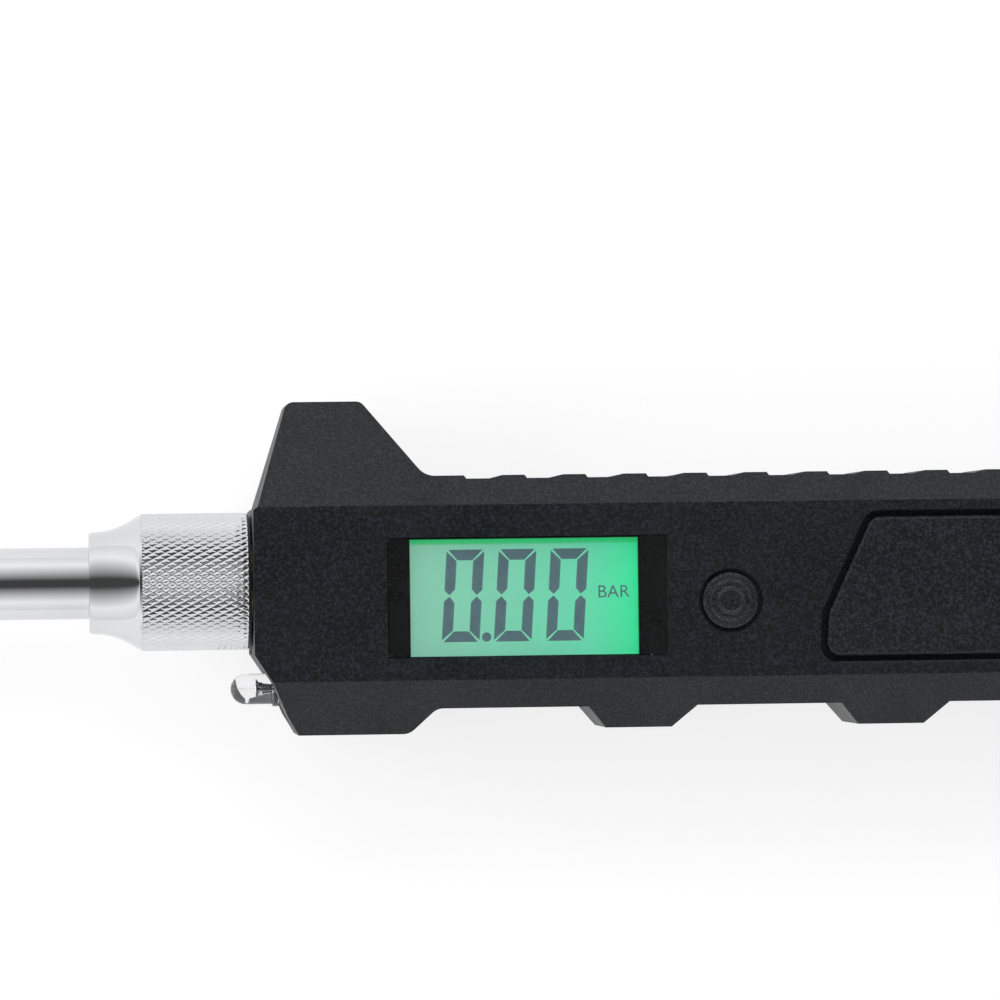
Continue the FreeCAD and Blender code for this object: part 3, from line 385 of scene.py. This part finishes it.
def backlit_glass():
    """Mint display glass, brighter and greener towards its top and right edges."""
    material, tree, shader = new_material("display_glass")
    across = span(tree, "X", LCD_LOW.x, LCD_HIGH.x)
    upward = span(tree, "Y", LCD_LOW.y, LCD_HIGH.y)
    side = ramp(tree, across,
                [(0.0, 0.0), (0.043, 0.0), (0.046, (0.27, 0.62, 0.46)), (0.4, (0.22, 0.65, 0.46)),
                 (0.75, (0.15, 0.71, 0.45)), (0.92, (0.06, 0.80, 0.38)), (0.952, (0.04, 0.86, 0.35)),
                 (0.955, 0.0)])
    top = ramp(tree, upward, [(0.0, 0.0), (0.885, 0.0), (0.897, 0.75), (0.93, 1.0)])
    inside = ramp(tree, upward, [(0.0, 0.0), (0.0675, 0.0), (0.07, 1.0), (0.932, 1.0), (0.935, 0.0)])
    glow = blend(tree, top, side, (0.02, 0.62, 0.18))
    shown = blend(tree, inside, (0.0, 0.0, 0.0), glow)
    tree.links.new(shown, shader.inputs["Base Color"])
    tree.links.new(shown, shader.inputs["Emission Color"])
    shader.inputs["Emission Strength"].default_value = 0.6
    dust = texture(tree, "Noise", Scale=900.0, Detail=2.0)
    tree.links.new(ramp(tree, dust.outputs["Fac"], [(0.3, 0.3), (0.7, 0.38)]), shader.inputs["Roughness"])
    add_bump(tree, shader, dust.outputs["Fac"], 0.1, 0.00001)
    return material


def segment_ink():
    """Dark print of the reading, faintly lit from behind."""
    material, tree, shader = new_material("segment_ink")
    cloud = texture(tree, "Noise", Scale=700.0, Detail=2.0)
    tone = ramp(tree, cloud.outputs["Fac"], [(0.3, (0.095, 0.165, 0.19)), (0.7, (0.115, 0.195, 0.225))])
    tree.links.new(tone, shader.inputs["Base Color"])
    tree.links.new(tone, shader.inputs["Emission Color"])
    shader.inputs["Emission Strength"].default_value = 0.5
    shader.inputs["Roughness"].default_value = 0.35
    return material


def phosphor():
    """Yellow speckled powder over the lamp's chip."""
    material, tree, shader = new_material("phosphor")
    speck = texture(tree, "Noise", Scale=4000.0, Detail=2.0)
    tone = ramp(tree, speck.outputs["Fac"], [(0.3, (0.75, 0.55, 0.08)), (0.7, (0.85, 0.68, 0.15))])
    tree.links.new(tone, shader.inputs["Base Color"])
    shader.inputs["Roughness"].default_value = 0.6
    return material


display_glass = backlit_glass()
NODE_MATERIALS["lcd_panel"] = display_glass
NODE_MATERIALS["backlight_panel"] = display_glass
NODE_MATERIALS["circuit_board"] = circuit_board_material()
NODE_MATERIALS["battery_cells"] = cell_material()
for node_name, node_material in NODE_MATERIALS.items():
    nodes[node_name].data.materials.clear()
    nodes[node_name].data.materials.append(node_material)

# ------------------------------------------------------------ housing shells

MAIN_ROUND = 0.35 * MM
FINE_ROUND = 0.12 * MM
SURFACE_BAND = 0.03 * MM
SEAM_BAND = 0.01 * MM
INWARD_LEAN = 0.0001
SHELL_MIDDLE_Y = -2.4 * MM

# The cavity, the openings in the front, and the grip pads on the +y side; x counts from the front end face.
CAVITY_X = (2.7 * MM, 159.3 * MM)
CAVITY_Y = (-18.7 * MM, 13.8 * MM)
OPENINGS_X = (20 * MM, 152 * MM)
PADS_START_X = 33 * MM
PAD_FACE_Y = 15.9 * MM
PAD_WALL_Y = 15.95 * MM


def surface_height(y):
    """Height of the front face and its bevels above the flat back."""
    outside = max(0.0, y - FLAT_TOP, FLAT_BOTTOM - y)
    return FRONT_Z - BEVEL_SLOPE * outside


def between(value, limits):
    """Whether a value lies inside a (low, high) pair."""
    return limits[0] < value < limits[1]


def shell_edge(edge):
    """Class of a shell's edge: main on the outline, fine at openings, pads and seam, none inside."""
    middle = (edge.verts[0].co + edge.verts[1].co) / 2
    x, y, z = middle.x - FACE_X, middle.y, middle.z
    height = z if z >= AXIS_Z - 1e-6 else FRONT_Z - z
    inside = between(x, CAVITY_X) and between(y, CAVITY_Y)
    if height > surface_height(y) - SURFACE_BAND:
        on_pad = y > PAD_FACE_Y and x > PADS_START_X
        in_opening = inside and between(x, OPENINGS_X)
        return "fine" if on_pad or in_opening else "main"
    inner_wall = any(face.normal.y * (y - SHELL_MIDDLE_Y) < -INWARD_LEAN * abs(y) for face in edge.link_faces)
    if inside or inner_wall:
        return None
    on_pad = y > PAD_WALL_Y and x > PADS_START_X
    on_seam = abs(z - AXIS_Z) < SEAM_BAND
    return "fine" if on_pad or on_seam else "main"


def door_edge(edge):
    """Rim of the door's front face."""
    return "rim" if max(vertex.co.z for vertex in edge.verts) > FRONT_Z - 0.5 * MM else None


for shell_name in ("front_shell", "rear_shell"):
    shell = copy_rounded(shell_name, shell_name + "_skin", shell_edge,
                         {"main": MAIN_ROUND, "fine": FINE_ROUND})
    finish_piece(shell, "housing", "black_plastic", black_plastic, shell_name)

door = copy_rounded("battery_door", "battery_door_skin", door_edge, {"rim": FINE_ROUND})
finish_piece(door, "door", "door_plastic", door_plastic, "battery_door")

# ------------------------------------------------------------ camera

VIEW_ANGLE = math.radians(9.2)
ROLL = math.radians(0.75)
TARGET = Vector((FACE_X + 39.85 * MM, 12.54 * MM, FRONT_Z))
EYE = Vector((FACE_X - 35.4 * MM, -1.8 * MM, FRONT_Z + 1.0))


def add_camera():
    """Camera which looks down on the front face from one metre, turned by the object's lean."""
    data = bpy.data.cameras.new("camera")
    data.angle = VIEW_ANGLE
    data.clip_start = 0.05
    data.clip_end = 20
    camera = bpy.data.objects.new("camera", data)
    scene.collection.objects.link(camera)
    back = (EYE - TARGET).normalized()
    up_hint = Vector((math.sin(ROLL), math.cos(ROLL), 0))
    right = up_hint.cross(back).normalized()
    up = back.cross(right)
    turn = Matrix((right, up, back)).transposed()
    camera.matrix_world = Matrix.Translation(EYE) @ turn.to_4x4()
    scene.camera = camera


add_camera()

# ------------------------------------------------------------ coupling nut

NUT_RADIUS = (NUT_HIGH.z - NUT_LOW.z) / 2
NUT_BORE = 7.1 * MM
BELL_RADIUS = 8.3 * MM
RIM_BORE = TUBE_RADIUS + 0.1 * MM
NUT_RIGHT = NUT_HIGH.x
NUT_LEFT = NUT_LOW.x
GROOVE_X = FACE_X - 18.2 * MM
SHOULDER_X = FACE_X - 16.75 * MM
BELL_END = FACE_X - 25.4 * MM
BELL_LENGTH = 6.95 * MM
BELL_STEPS = 12

# The bell's radius grows with the square of the distance from its rim, by this much per metre.
BELL_FLARE = 53.0
BELL_STEP = 0.08 * MM

KNURL_TURNS = 64
KNURL_TILT = math.tan(math.radians(28))
KNURL_LEFT = GROOVE_X + 0.35 * MM
KNURL_RIGHT = NUT_RIGHT - 0.7 * MM
KNURL_STATION = 0.11 * MM
RISING_DEPTH = 0.22 * MM
RISING_FLAT = 0.8
FALLING_DEPTH = 0.17 * MM
FALLING_FLAT = 0.62
GROOVE_HALF = 0.09 * MM
GROOVE_DEPTH = 0.38 * MM


def ridge(value, flat):
    """Triangle wave from 0 in a groove to 1, where it is cut off flat at the given share of its height."""
    height = abs((value % 1.0) - 0.5) * 2
    return min(1.0, height / flat)


def knurl_relief(along, angle):
    """Depth of the two crossing sets of knurl grooves."""
    if not KNURL_LEFT <= along <= KNURL_RIGHT:
        return 0.0
    slip = along * KNURL_TILT * KNURL_TURNS / (2 * math.pi * NUT_RADIUS)
    round_place = KNURL_TURNS * angle / (2 * math.pi)
    rising = RISING_DEPTH * (1 - ridge(round_place - slip, RISING_FLAT))
    falling = FALLING_DEPTH * (1 - ridge(round_place + slip, FALLING_FLAT))
    return max(rising, falling)


def nut_profile():
    """Closed outline of the nut: bore, sleeve with knurl stations, groove, bell and rim."""
    outline = [(NUT_RIGHT, NUT_BORE), (NUT_RIGHT, NUT_RADIUS - 0.55 * MM),
               (NUT_RIGHT - 0.12 * MM, NUT_RADIUS - 0.42 * MM),
               (NUT_RIGHT - 0.55 * MM, NUT_RADIUS - 0.05 * MM)]
    station = KNURL_RIGHT
    while station > KNURL_LEFT:
        outline.append((station, NUT_RADIUS))
        station -= KNURL_STATION
    outline += [(KNURL_LEFT - 0.05 * MM, NUT_RADIUS - 0.02 * MM),
                (GROOVE_X + 0.12 * MM, NUT_RADIUS - 0.06 * MM),
                (GROOVE_X + GROOVE_HALF, NUT_RADIUS - GROOVE_DEPTH),
                (GROOVE_X - GROOVE_HALF, NUT_RADIUS - GROOVE_DEPTH),
                (GROOVE_X - 0.12 * MM, NUT_RADIUS - 0.12 * MM)]
    for step in range(BELL_STEPS + 1):
        from_rim = BELL_LENGTH * (1 - step / BELL_STEPS)
        outline.append((BELL_END + from_rim, BELL_RADIUS + BELL_STEP + BELL_FLARE * from_rim ** 2))
    outline += [(NUT_LEFT + 0.45 * MM, BELL_RADIUS), (NUT_LEFT + 0.1 * MM, BELL_RADIUS - 0.1 * MM),
                (NUT_LEFT, BELL_RADIUS - 0.35 * MM), (NUT_LEFT, RIM_BORE + 0.3 * MM),
                (NUT_LEFT + 0.3 * MM, RIM_BORE), (SHOULDER_X, RIM_BORE), (SHOULDER_X, NUT_BORE)]
    return outline


nut = lathe("coupling_nut_turned", nut_profile(), (0, 0, AXIS_Z), segments=960, relief=knurl_relief)
finish_piece(nut, "nut", "nut_chrome", nut_chrome, "coupling_nut", smooth=40, flats=False)

# ------------------------------------------------------------ chuck

CHUCK_ROUND = 0.4 * MM
NOZZLE_ROUND = 0.15 * MM

for node_name, slot_name, chuck_material, size in (
        ("chuck_body", "chuck_metal", chuck_metal, CHUCK_ROUND),
        ("front_nozzle", "mouth_brass", mouth_metal, NOZZLE_ROUND),
        ("rear_nozzle", "mouth_brass", mouth_metal, NOZZLE_ROUND)):
    part = copy_rounded(node_name, node_name + "_skin", lambda edge: "edge", {"edge": size})
    finish_piece(part, "stem", slot_name, chuck_material, node_name)

# ------------------------------------------------------------ display

SCREEN_LEFT = FACE_X + 25.2 * MM
SCREEN_RIGHT = FACE_X + 62.2 * MM
SCREEN_TOP = 6.3 * MM
SCREEN_BOTTOM = -12.6 * MM
BORDER_THICKNESS = 0.07 * MM
PANE_GAP = 0.01 * MM
PANE_CORNER = 0.5 * MM
PANE_ROUND = 0.05 * MM


def rectangle(left, bottom, right, top):
    """Corners of an upright rectangle, anticlockwise."""
    return [(left, bottom), (right, bottom), (right, top), (left, top)]


def slab(bm, outline, base, top):
    """Closed prism over an (x, y) outline."""
    lower = [bm.verts.new((x, y, base)) for x, y in outline]
    upper = [bm.verts.new((x, y, top)) for x, y in outline]
    bm.faces.new(lower[::-1])
    bm.faces.new(upper)
    for index in range(len(outline)):
        after = (index + 1) % len(outline)
        bm.faces.new((lower[index], lower[after], upper[after], upper[index]))


def window_pane():
    """Clear pane in front of the printed border, with its front edge rounded."""
    bm = bmesh.new()
    low, high = WINDOW_LOW, WINDOW_HIGH
    outline = rounded(rectangle(low.x, low.y, high.x, high.y), PANE_CORNER)
    slab(bm, outline, low.z + BORDER_THICKNESS + PANE_GAP, high.z)
    edges = [edge for edge in bm.edges if all(abs(vertex.co.z - high.z) < 1e-7 for vertex in edge.verts)]
    bmesh.ops.bevel(bm, geom=edges, offset=PANE_ROUND, segments=2, profile=0.5, affect="EDGES")
    pane = object_from("window_pane", bm)
    finish_piece(pane, "housing", "clear_window", window_clear, "display_window")


def window_border():
    """Black print round the screen, on the back of the window."""
    bm = bmesh.new()
    low, high = WINDOW_LOW, WINDOW_HIGH
    outer = rectangle(low.x, low.y, high.x, high.y)
    inner = rectangle(SCREEN_LEFT, SCREEN_BOTTOM, SCREEN_RIGHT, SCREEN_TOP)
    levels = (low.z, low.z + BORDER_THICKNESS)
    rings = [[bm.verts.new((x, y, z)) for x, y in outline] for z in levels for outline in (outer, inner)]
    low_outer, low_inner, high_outer, high_inner = rings
    for index in range(4):
        after = (index + 1) % 4
        for first, second in ((low_outer, low_inner), (high_outer, high_inner),
                              (low_outer, high_outer), (low_inner, high_inner)):
            bm.faces.new((first[index], first[after], second[after], second[index]))
    border = object_from("window_border", bm)
    finish_piece(border, "housing", "frame_plastic", border_print)


DIGIT_HEIGHT = 14.9 * MM
DIGIT_WIDTH = 6.1 * MM
DIGIT_PITCH = 8.45 * MM
STROKE = 1.7 * MM
SLANT = 0.066
MITRE_GAP = 0.14 * MM
DIGITS = 3
FIRST_DIGIT_X = FACE_X + 30.3 * MM
DIGIT_FOOT_Y = (SCREEN_TOP + SCREEN_BOTTOM) / 2 + 0.3 * MM - DIGIT_HEIGHT / 2
POINT_RADIUS = 0.75 * MM
POINT_CORNERS = 24
INK_THICKNESS = 0.03 * MM
UNIT_SIZE = 2.9 * MM
UNIT_X = FACE_X + 55.6 * MM
UNIT_Y = -3.4 * MM


def zero_bars():
    """The six bars of a nought about its lower left corner, clockwise from the top, before slanting."""
    width, height, stroke, gap = DIGIT_WIDTH, DIGIT_HEIGHT, STROKE, MITRE_GAP
    middle = height / 2
    left_low = [(0, gap * 2), (stroke, stroke + gap), (stroke, middle - stroke * 0.55 - gap),
                (stroke * 0.5, middle - gap), (0, middle - stroke * 0.45 - gap)]
    bottom = [(gap * 2, 0), (width - gap * 2, 0), (width - stroke - gap, stroke), (stroke + gap, stroke)]
    top = [(x, height - y) for x, y in bottom]
    right_high = [(width - x, height - y) for x, y in left_low]
    right_low = [(width - x, y) for x, y in left_low]
    left_high = [(x, height - y) for x, y in left_low]
    return top, right_high, right_low, bottom, left_low, left_high


def anticlockwise(outline):
    """Outline turned anticlockwise."""
    area = 0
    for (x, y), (next_x, next_y) in zip(outline[-1:] + outline[:-1], outline):
        area += x * next_y - next_x * y
    return outline if area > 0 else outline[::-1]


def reading(ink):
    """Three noughts and a point, printed dark on the glass."""
    bm = bmesh.new()
    base, top = LCD_HIGH.z, LCD_HIGH.z + INK_THICKNESS
    for place in range(DIGITS):
        start = FIRST_DIGIT_X + place * DIGIT_PITCH
        for bar in zero_bars():
            outline = [(start + x + y * SLANT, DIGIT_FOOT_Y + y) for x, y in bar]
            slab(bm, anticlockwise(outline), base, top)
    point_x = FIRST_DIGIT_X + DIGIT_WIDTH + (DIGIT_PITCH - DIGIT_WIDTH) / 2
    point_y = DIGIT_FOOT_Y + POINT_RADIUS
    turns = [step * 2 * math.pi / POINT_CORNERS for step in range(POINT_CORNERS)]
    point = [(point_x + POINT_RADIUS * math.cos(turn), point_y + POINT_RADIUS * math.sin(turn))
             for turn in turns]
    slab(bm, point, base, top)
    finish_piece(object_from("lcd_reading", bm), "housing", "display_glass", ink)


def unit_label(ink):
    """The unit of pressure at the right of the reading."""
    curve = bpy.data.curves.new("unit", "FONT")
    curve.body = "BAR"
    curve.size = UNIT_SIZE
    curve.extrude = INK_THICKNESS / 2
    text = bpy.data.objects.new("unit_text", curve)
    scene.collection.objects.link(text)
    text.location = (UNIT_X, UNIT_Y, LCD_HIGH.z + INK_THICKNESS / 2)
    bpy.context.view_layer.update()
    mesh = bpy.data.meshes.new_from_object(text.evaluated_get(bpy.context.evaluated_depsgraph_get()))
    mesh.transform(text.matrix_world)
    bpy.data.objects.remove(text)
    label = bpy.data.objects.new("lcd_unit", mesh)
    scene.collection.objects.link(label)
    finish_piece(label, "housing", "display_glass", ink)


window_pane()
window_border()
display_ink = segment_ink()
reading(display_ink)
unit_label(display_ink)

# ------------------------------------------------------------ button

BUTTON_RADIUS = 4.6 * MM
CROWN_ROUND = 0.45 * MM
CROWN_DROP = MM
DOME_RADIUS = 4.1 * MM
DOME_RISE = 0.42 * MM
DOME_STEPS = 60
RING_WIDTH = 0.2 * MM
BUTTON_RINGS = ((3.1 * MM, 0.14 * MM), (1.95 * MM, 0.22 * MM))


def button_crown(top):
    """Rounded rim, then the dome with its two raised rings, from the rim in to the middle."""
    outline = []
    for degrees in range(0, 91, 15):
        turn = math.radians(degrees)
        outline.append((top - CROWN_DROP + CROWN_ROUND * math.sin(turn),
                        BUTTON_RADIUS - CROWN_ROUND * (1 - math.cos(turn))))
    for step in range(DOME_STEPS):
        radius = DOME_RADIUS * (1 - step / DOME_STEPS)
        height = top - 0.1 * MM - DOME_RISE * (radius / DOME_RADIUS) ** 2
        for ring_radius, ring_height in BUTTON_RINGS:
            height += ring_height * math.exp(-((radius - ring_radius) / RING_WIDTH) ** 2)
        outline.append((height, max(radius, NEAR_AXIS)))
    return outline


def button():
    """Flanged cap with a domed and ringed crown."""
    centre = (BUTTON_LOW + BUTTON_HIGH) / 2
    base = BUTTON_LOW.z
    flange = (BUTTON_HIGH.x - BUTTON_LOW.x) / 2
    crown = BUTTON_HIGH.z - 0.02 * MM
    profile = [(base, NEAR_AXIS), (base, flange - 0.1 * MM), (base + 0.1 * MM, flange),
               (base + 0.9 * MM, flange), (base + MM, flange - 0.1 * MM), (base + MM, BUTTON_RADIUS),
               (crown - 1.05 * MM, BUTTON_RADIUS)]
    cap = lathe("button_cap_domed", profile + button_crown(crown), (centre.x, centre.y, 0),
                axis=(0, 0, 1), segments=96)
    finish_piece(cap, "button", "button_plastic", button_plastic, "button_cap")


button()

# ------------------------------------------------------------ lamp

LAMP_RADIUS = 2.5 * MM
LAMP_CENTRE = (LAMP_LOW + LAMP_HIGH) / 2
LAMP_SEAT = LAMP_HIGH.x
LENS_STEPS = 24
CUP_X = LAMP_SEAT - 3.1 * MM
ANVIL_Z = LAMP_CENTRE.z - 0.45 * MM
POST_Z = LAMP_CENTRE.z + 1.1 * MM
LEG_RIGHT = LAMP_SEAT - 0.3 * MM
LEG_HALF_THICKNESS = 0.25 * MM
LEG_TAPER = 0.6
LEG_ROUND = 0.05 * MM


def lamp_lens():
    """Clear domed lamp with its flange."""
    seat = LAMP_SEAT
    flange = (LAMP_HIGH.z - LAMP_LOW.z) / 2
    dome = LAMP_LOW.x + LAMP_RADIUS
    profile = [(seat, NEAR_AXIS), (seat, flange - 0.1 * MM), (seat - 0.1 * MM, flange),
               (seat - 0.9 * MM, flange), (seat - MM, flange - 0.1 * MM),
               (seat - 1.02 * MM, LAMP_RADIUS + 0.05 * MM), (seat - 1.1 * MM, LAMP_RADIUS)]
    for step in range(LENS_STEPS + 1):
        turn = math.radians(89.3 * step / LENS_STEPS)
        profile.append((dome - LAMP_RADIUS * math.sin(turn), LAMP_RADIUS * math.cos(turn)))
    lens = lathe("led_lamp_lens", profile, (0, LAMP_CENTRE.y, LAMP_CENTRE.z), segments=96)
    finish_piece(lens, "housing", "clear_lamp", lamp_clear, "led_lamp")


def lamp_cup():
    """Reflector cup on the end of the anvil."""
    rim, back = CUP_X - 0.55 * MM, CUP_X + 0.5 * MM
    bowl = CUP_X - 0.1 * MM
    profile = [(CUP_X, 0.62 * MM), (rim, 0.95 * MM), (rim, 0.75 * MM), (bowl, 0.45 * MM),
               (bowl, NEAR_AXIS), (back, NEAR_AXIS), (back, 0.62 * MM)]
    cup = lathe("led_cup", profile, (0, LAMP_CENTRE.y, ANVIL_Z), segments=48)
    finish_piece(cup, "housing", "lead_steel", spring_steel)


def lamp_leg(name, height, left, half_width):
    """Flat leg inside the lamp, narrower towards its seat."""
    bm = bmesh.new()
    middle = LAMP_CENTRE.y
    narrow = half_width * LEG_TAPER
    outline = [(left, middle - half_width), (LEG_RIGHT, middle - narrow),
               (LEG_RIGHT, middle + narrow), (left, middle + half_width)]
    slab(bm, outline, height - LEG_HALF_THICKNESS, height + LEG_HALF_THICKNESS)
    bmesh.ops.bevel(bm, geom=bm.edges[:], offset=LEG_ROUND, segments=2, profile=0.5, affect="EDGES")
    finish_piece(object_from(name, bm), "housing", "lead_steel", spring_steel)


def lamp_phosphor():
    """Domed drop of phosphor in the cup."""
    profile = [(CUP_X - 0.11 * MM, NEAR_AXIS), (CUP_X - 0.11 * MM, 0.42 * MM),
               (CUP_X - 0.2 * MM, 0.38 * MM), (CUP_X - 0.3 * MM, 0.2 * MM), (CUP_X - 0.32 * MM, NEAR_AXIS)]
    drop = lathe("led_phosphor", profile, (0, LAMP_CENTRE.y, ANVIL_Z), segments=32)
    finish_piece(drop, "housing", "clear_lamp", phosphor())


lamp_lens()
lamp_cup()
lamp_leg("led_anvil", ANVIL_Z, CUP_X + 0.3 * MM, 0.55 * MM)
lamp_leg("led_post", POST_Z, CUP_X + 0.1 * MM, 0.3 * MM)
lamp_phosphor()

# ------------------------------------------------------------ studio

# Angles are in degrees round the stem's axis, from straight above it towards +y.
STRIP_HALF_ANGLE = 10
TENT_SIDE = 60
TENT_FOOT = 150
STRIP_GREY = 0.05
FRONT_GREY = 0.85
REAR_GREY = 0.9
FOOT_GREY = 0.35
TENT_STRENGTH = 1.36
FLOOR_GREY = 0.35
FLOOR_GLOW = 0.75
FLOOR_HALF_SIZE = 3


def studio_world():
    """Bright tent with a dark strip overhead which runs along the stem."""
    world = bpy.data.worlds.new("studio")
    scene.world = world
    world.use_nodes = True
    tree = world.node_tree
    coordinates = tree.nodes.new("ShaderNodeTexCoord")
    split = tree.nodes.new("ShaderNodeSeparateXYZ")
    tree.links.new(coordinates.outputs["Generated"], split.inputs["Vector"])
    angle = tree.nodes.new("ShaderNodeMath")
    angle.operation = "ARCTAN2"
    tree.links.new(split.outputs["Y"], angle.inputs[0])
    tree.links.new(split.outputs["Z"], angle.inputs[1])
    place = tree.nodes.new("ShaderNodeMapRange")
    place.inputs["From Min"].default_value = -math.pi
    place.inputs["From Max"].default_value = math.pi
    tree.links.new(angle.outputs["Value"], place.inputs["Value"])
    stops = ((-TENT_FOOT, FOOT_GREY), (-TENT_SIDE, FRONT_GREY), (-STRIP_HALF_ANGLE, STRIP_GREY),
             (STRIP_HALF_ANGLE, STRIP_GREY), (TENT_SIDE, REAR_GREY), (TENT_FOOT, FOOT_GREY))
    tent = ramp(tree, place.outputs["Result"], [(0.5 + degrees / 360, grey) for degrees, grey in stops])
    background = tree.nodes["Background"]
    tree.links.new(tent, background.inputs["Color"])
    background.inputs["Strength"].default_value = TENT_STRENGTH


def area_light(name, place, size, power):
    """Softbox aimed at the frame's origin and left out of reflections."""
    data = bpy.data.lights.new(name, "AREA")
    data.shape = "RECTANGLE"
    data.size, data.size_y = size
    data.energy = power
    light = bpy.data.objects.new(name, data)
    scene.collection.objects.link(light)
    light.location = place
    light.visible_glossy = False
    light.rotation_euler = (-Vector(place)).to_track_quat("-Z", "Y").to_euler()


def add_floor():
    """Plain pale sheet with an even glow of its own."""
    bm = bmesh.new()
    bmesh.ops.create_grid(bm, x_segments=1, y_segments=1, size=FLOOR_HALF_SIZE)
    floor = object_from("floor", bm)
    material, tree, shader = new_material("paper_floor")
    tree.nodes.remove(shader)
    paper = tree.nodes.new("ShaderNodeBsdfDiffuse")
    paper.inputs["Color"].default_value = (FLOOR_GREY, FLOOR_GREY, FLOOR_GREY, 1)
    glow = tree.nodes.new("ShaderNodeEmission")
    glow.inputs["Color"].default_value = (1, 1, 1, 1)
    glow.inputs["Strength"].default_value = FLOOR_GLOW
    pale = tree.nodes.new("ShaderNodeAddShader")
    tree.links.new(paper.outputs["BSDF"], pale.inputs[0])
    tree.links.new(glow.outputs["Emission"], pale.inputs[1])
    tree.links.new(pale.outputs["Shader"], tree.nodes["Material Output"].inputs["Surface"])
    floor.data.materials.append(material)


studio_world()
area_light("left_softbox", place=(-1.2, 0.1, 0.5), size=(0.8, 0.8), power=9)
area_light("rear_softbox", place=(-0.1, 1.0, 0.9), size=(1.2, 0.5), power=5)
add_floor()
scene.view_settings.view_transform = "Standard"
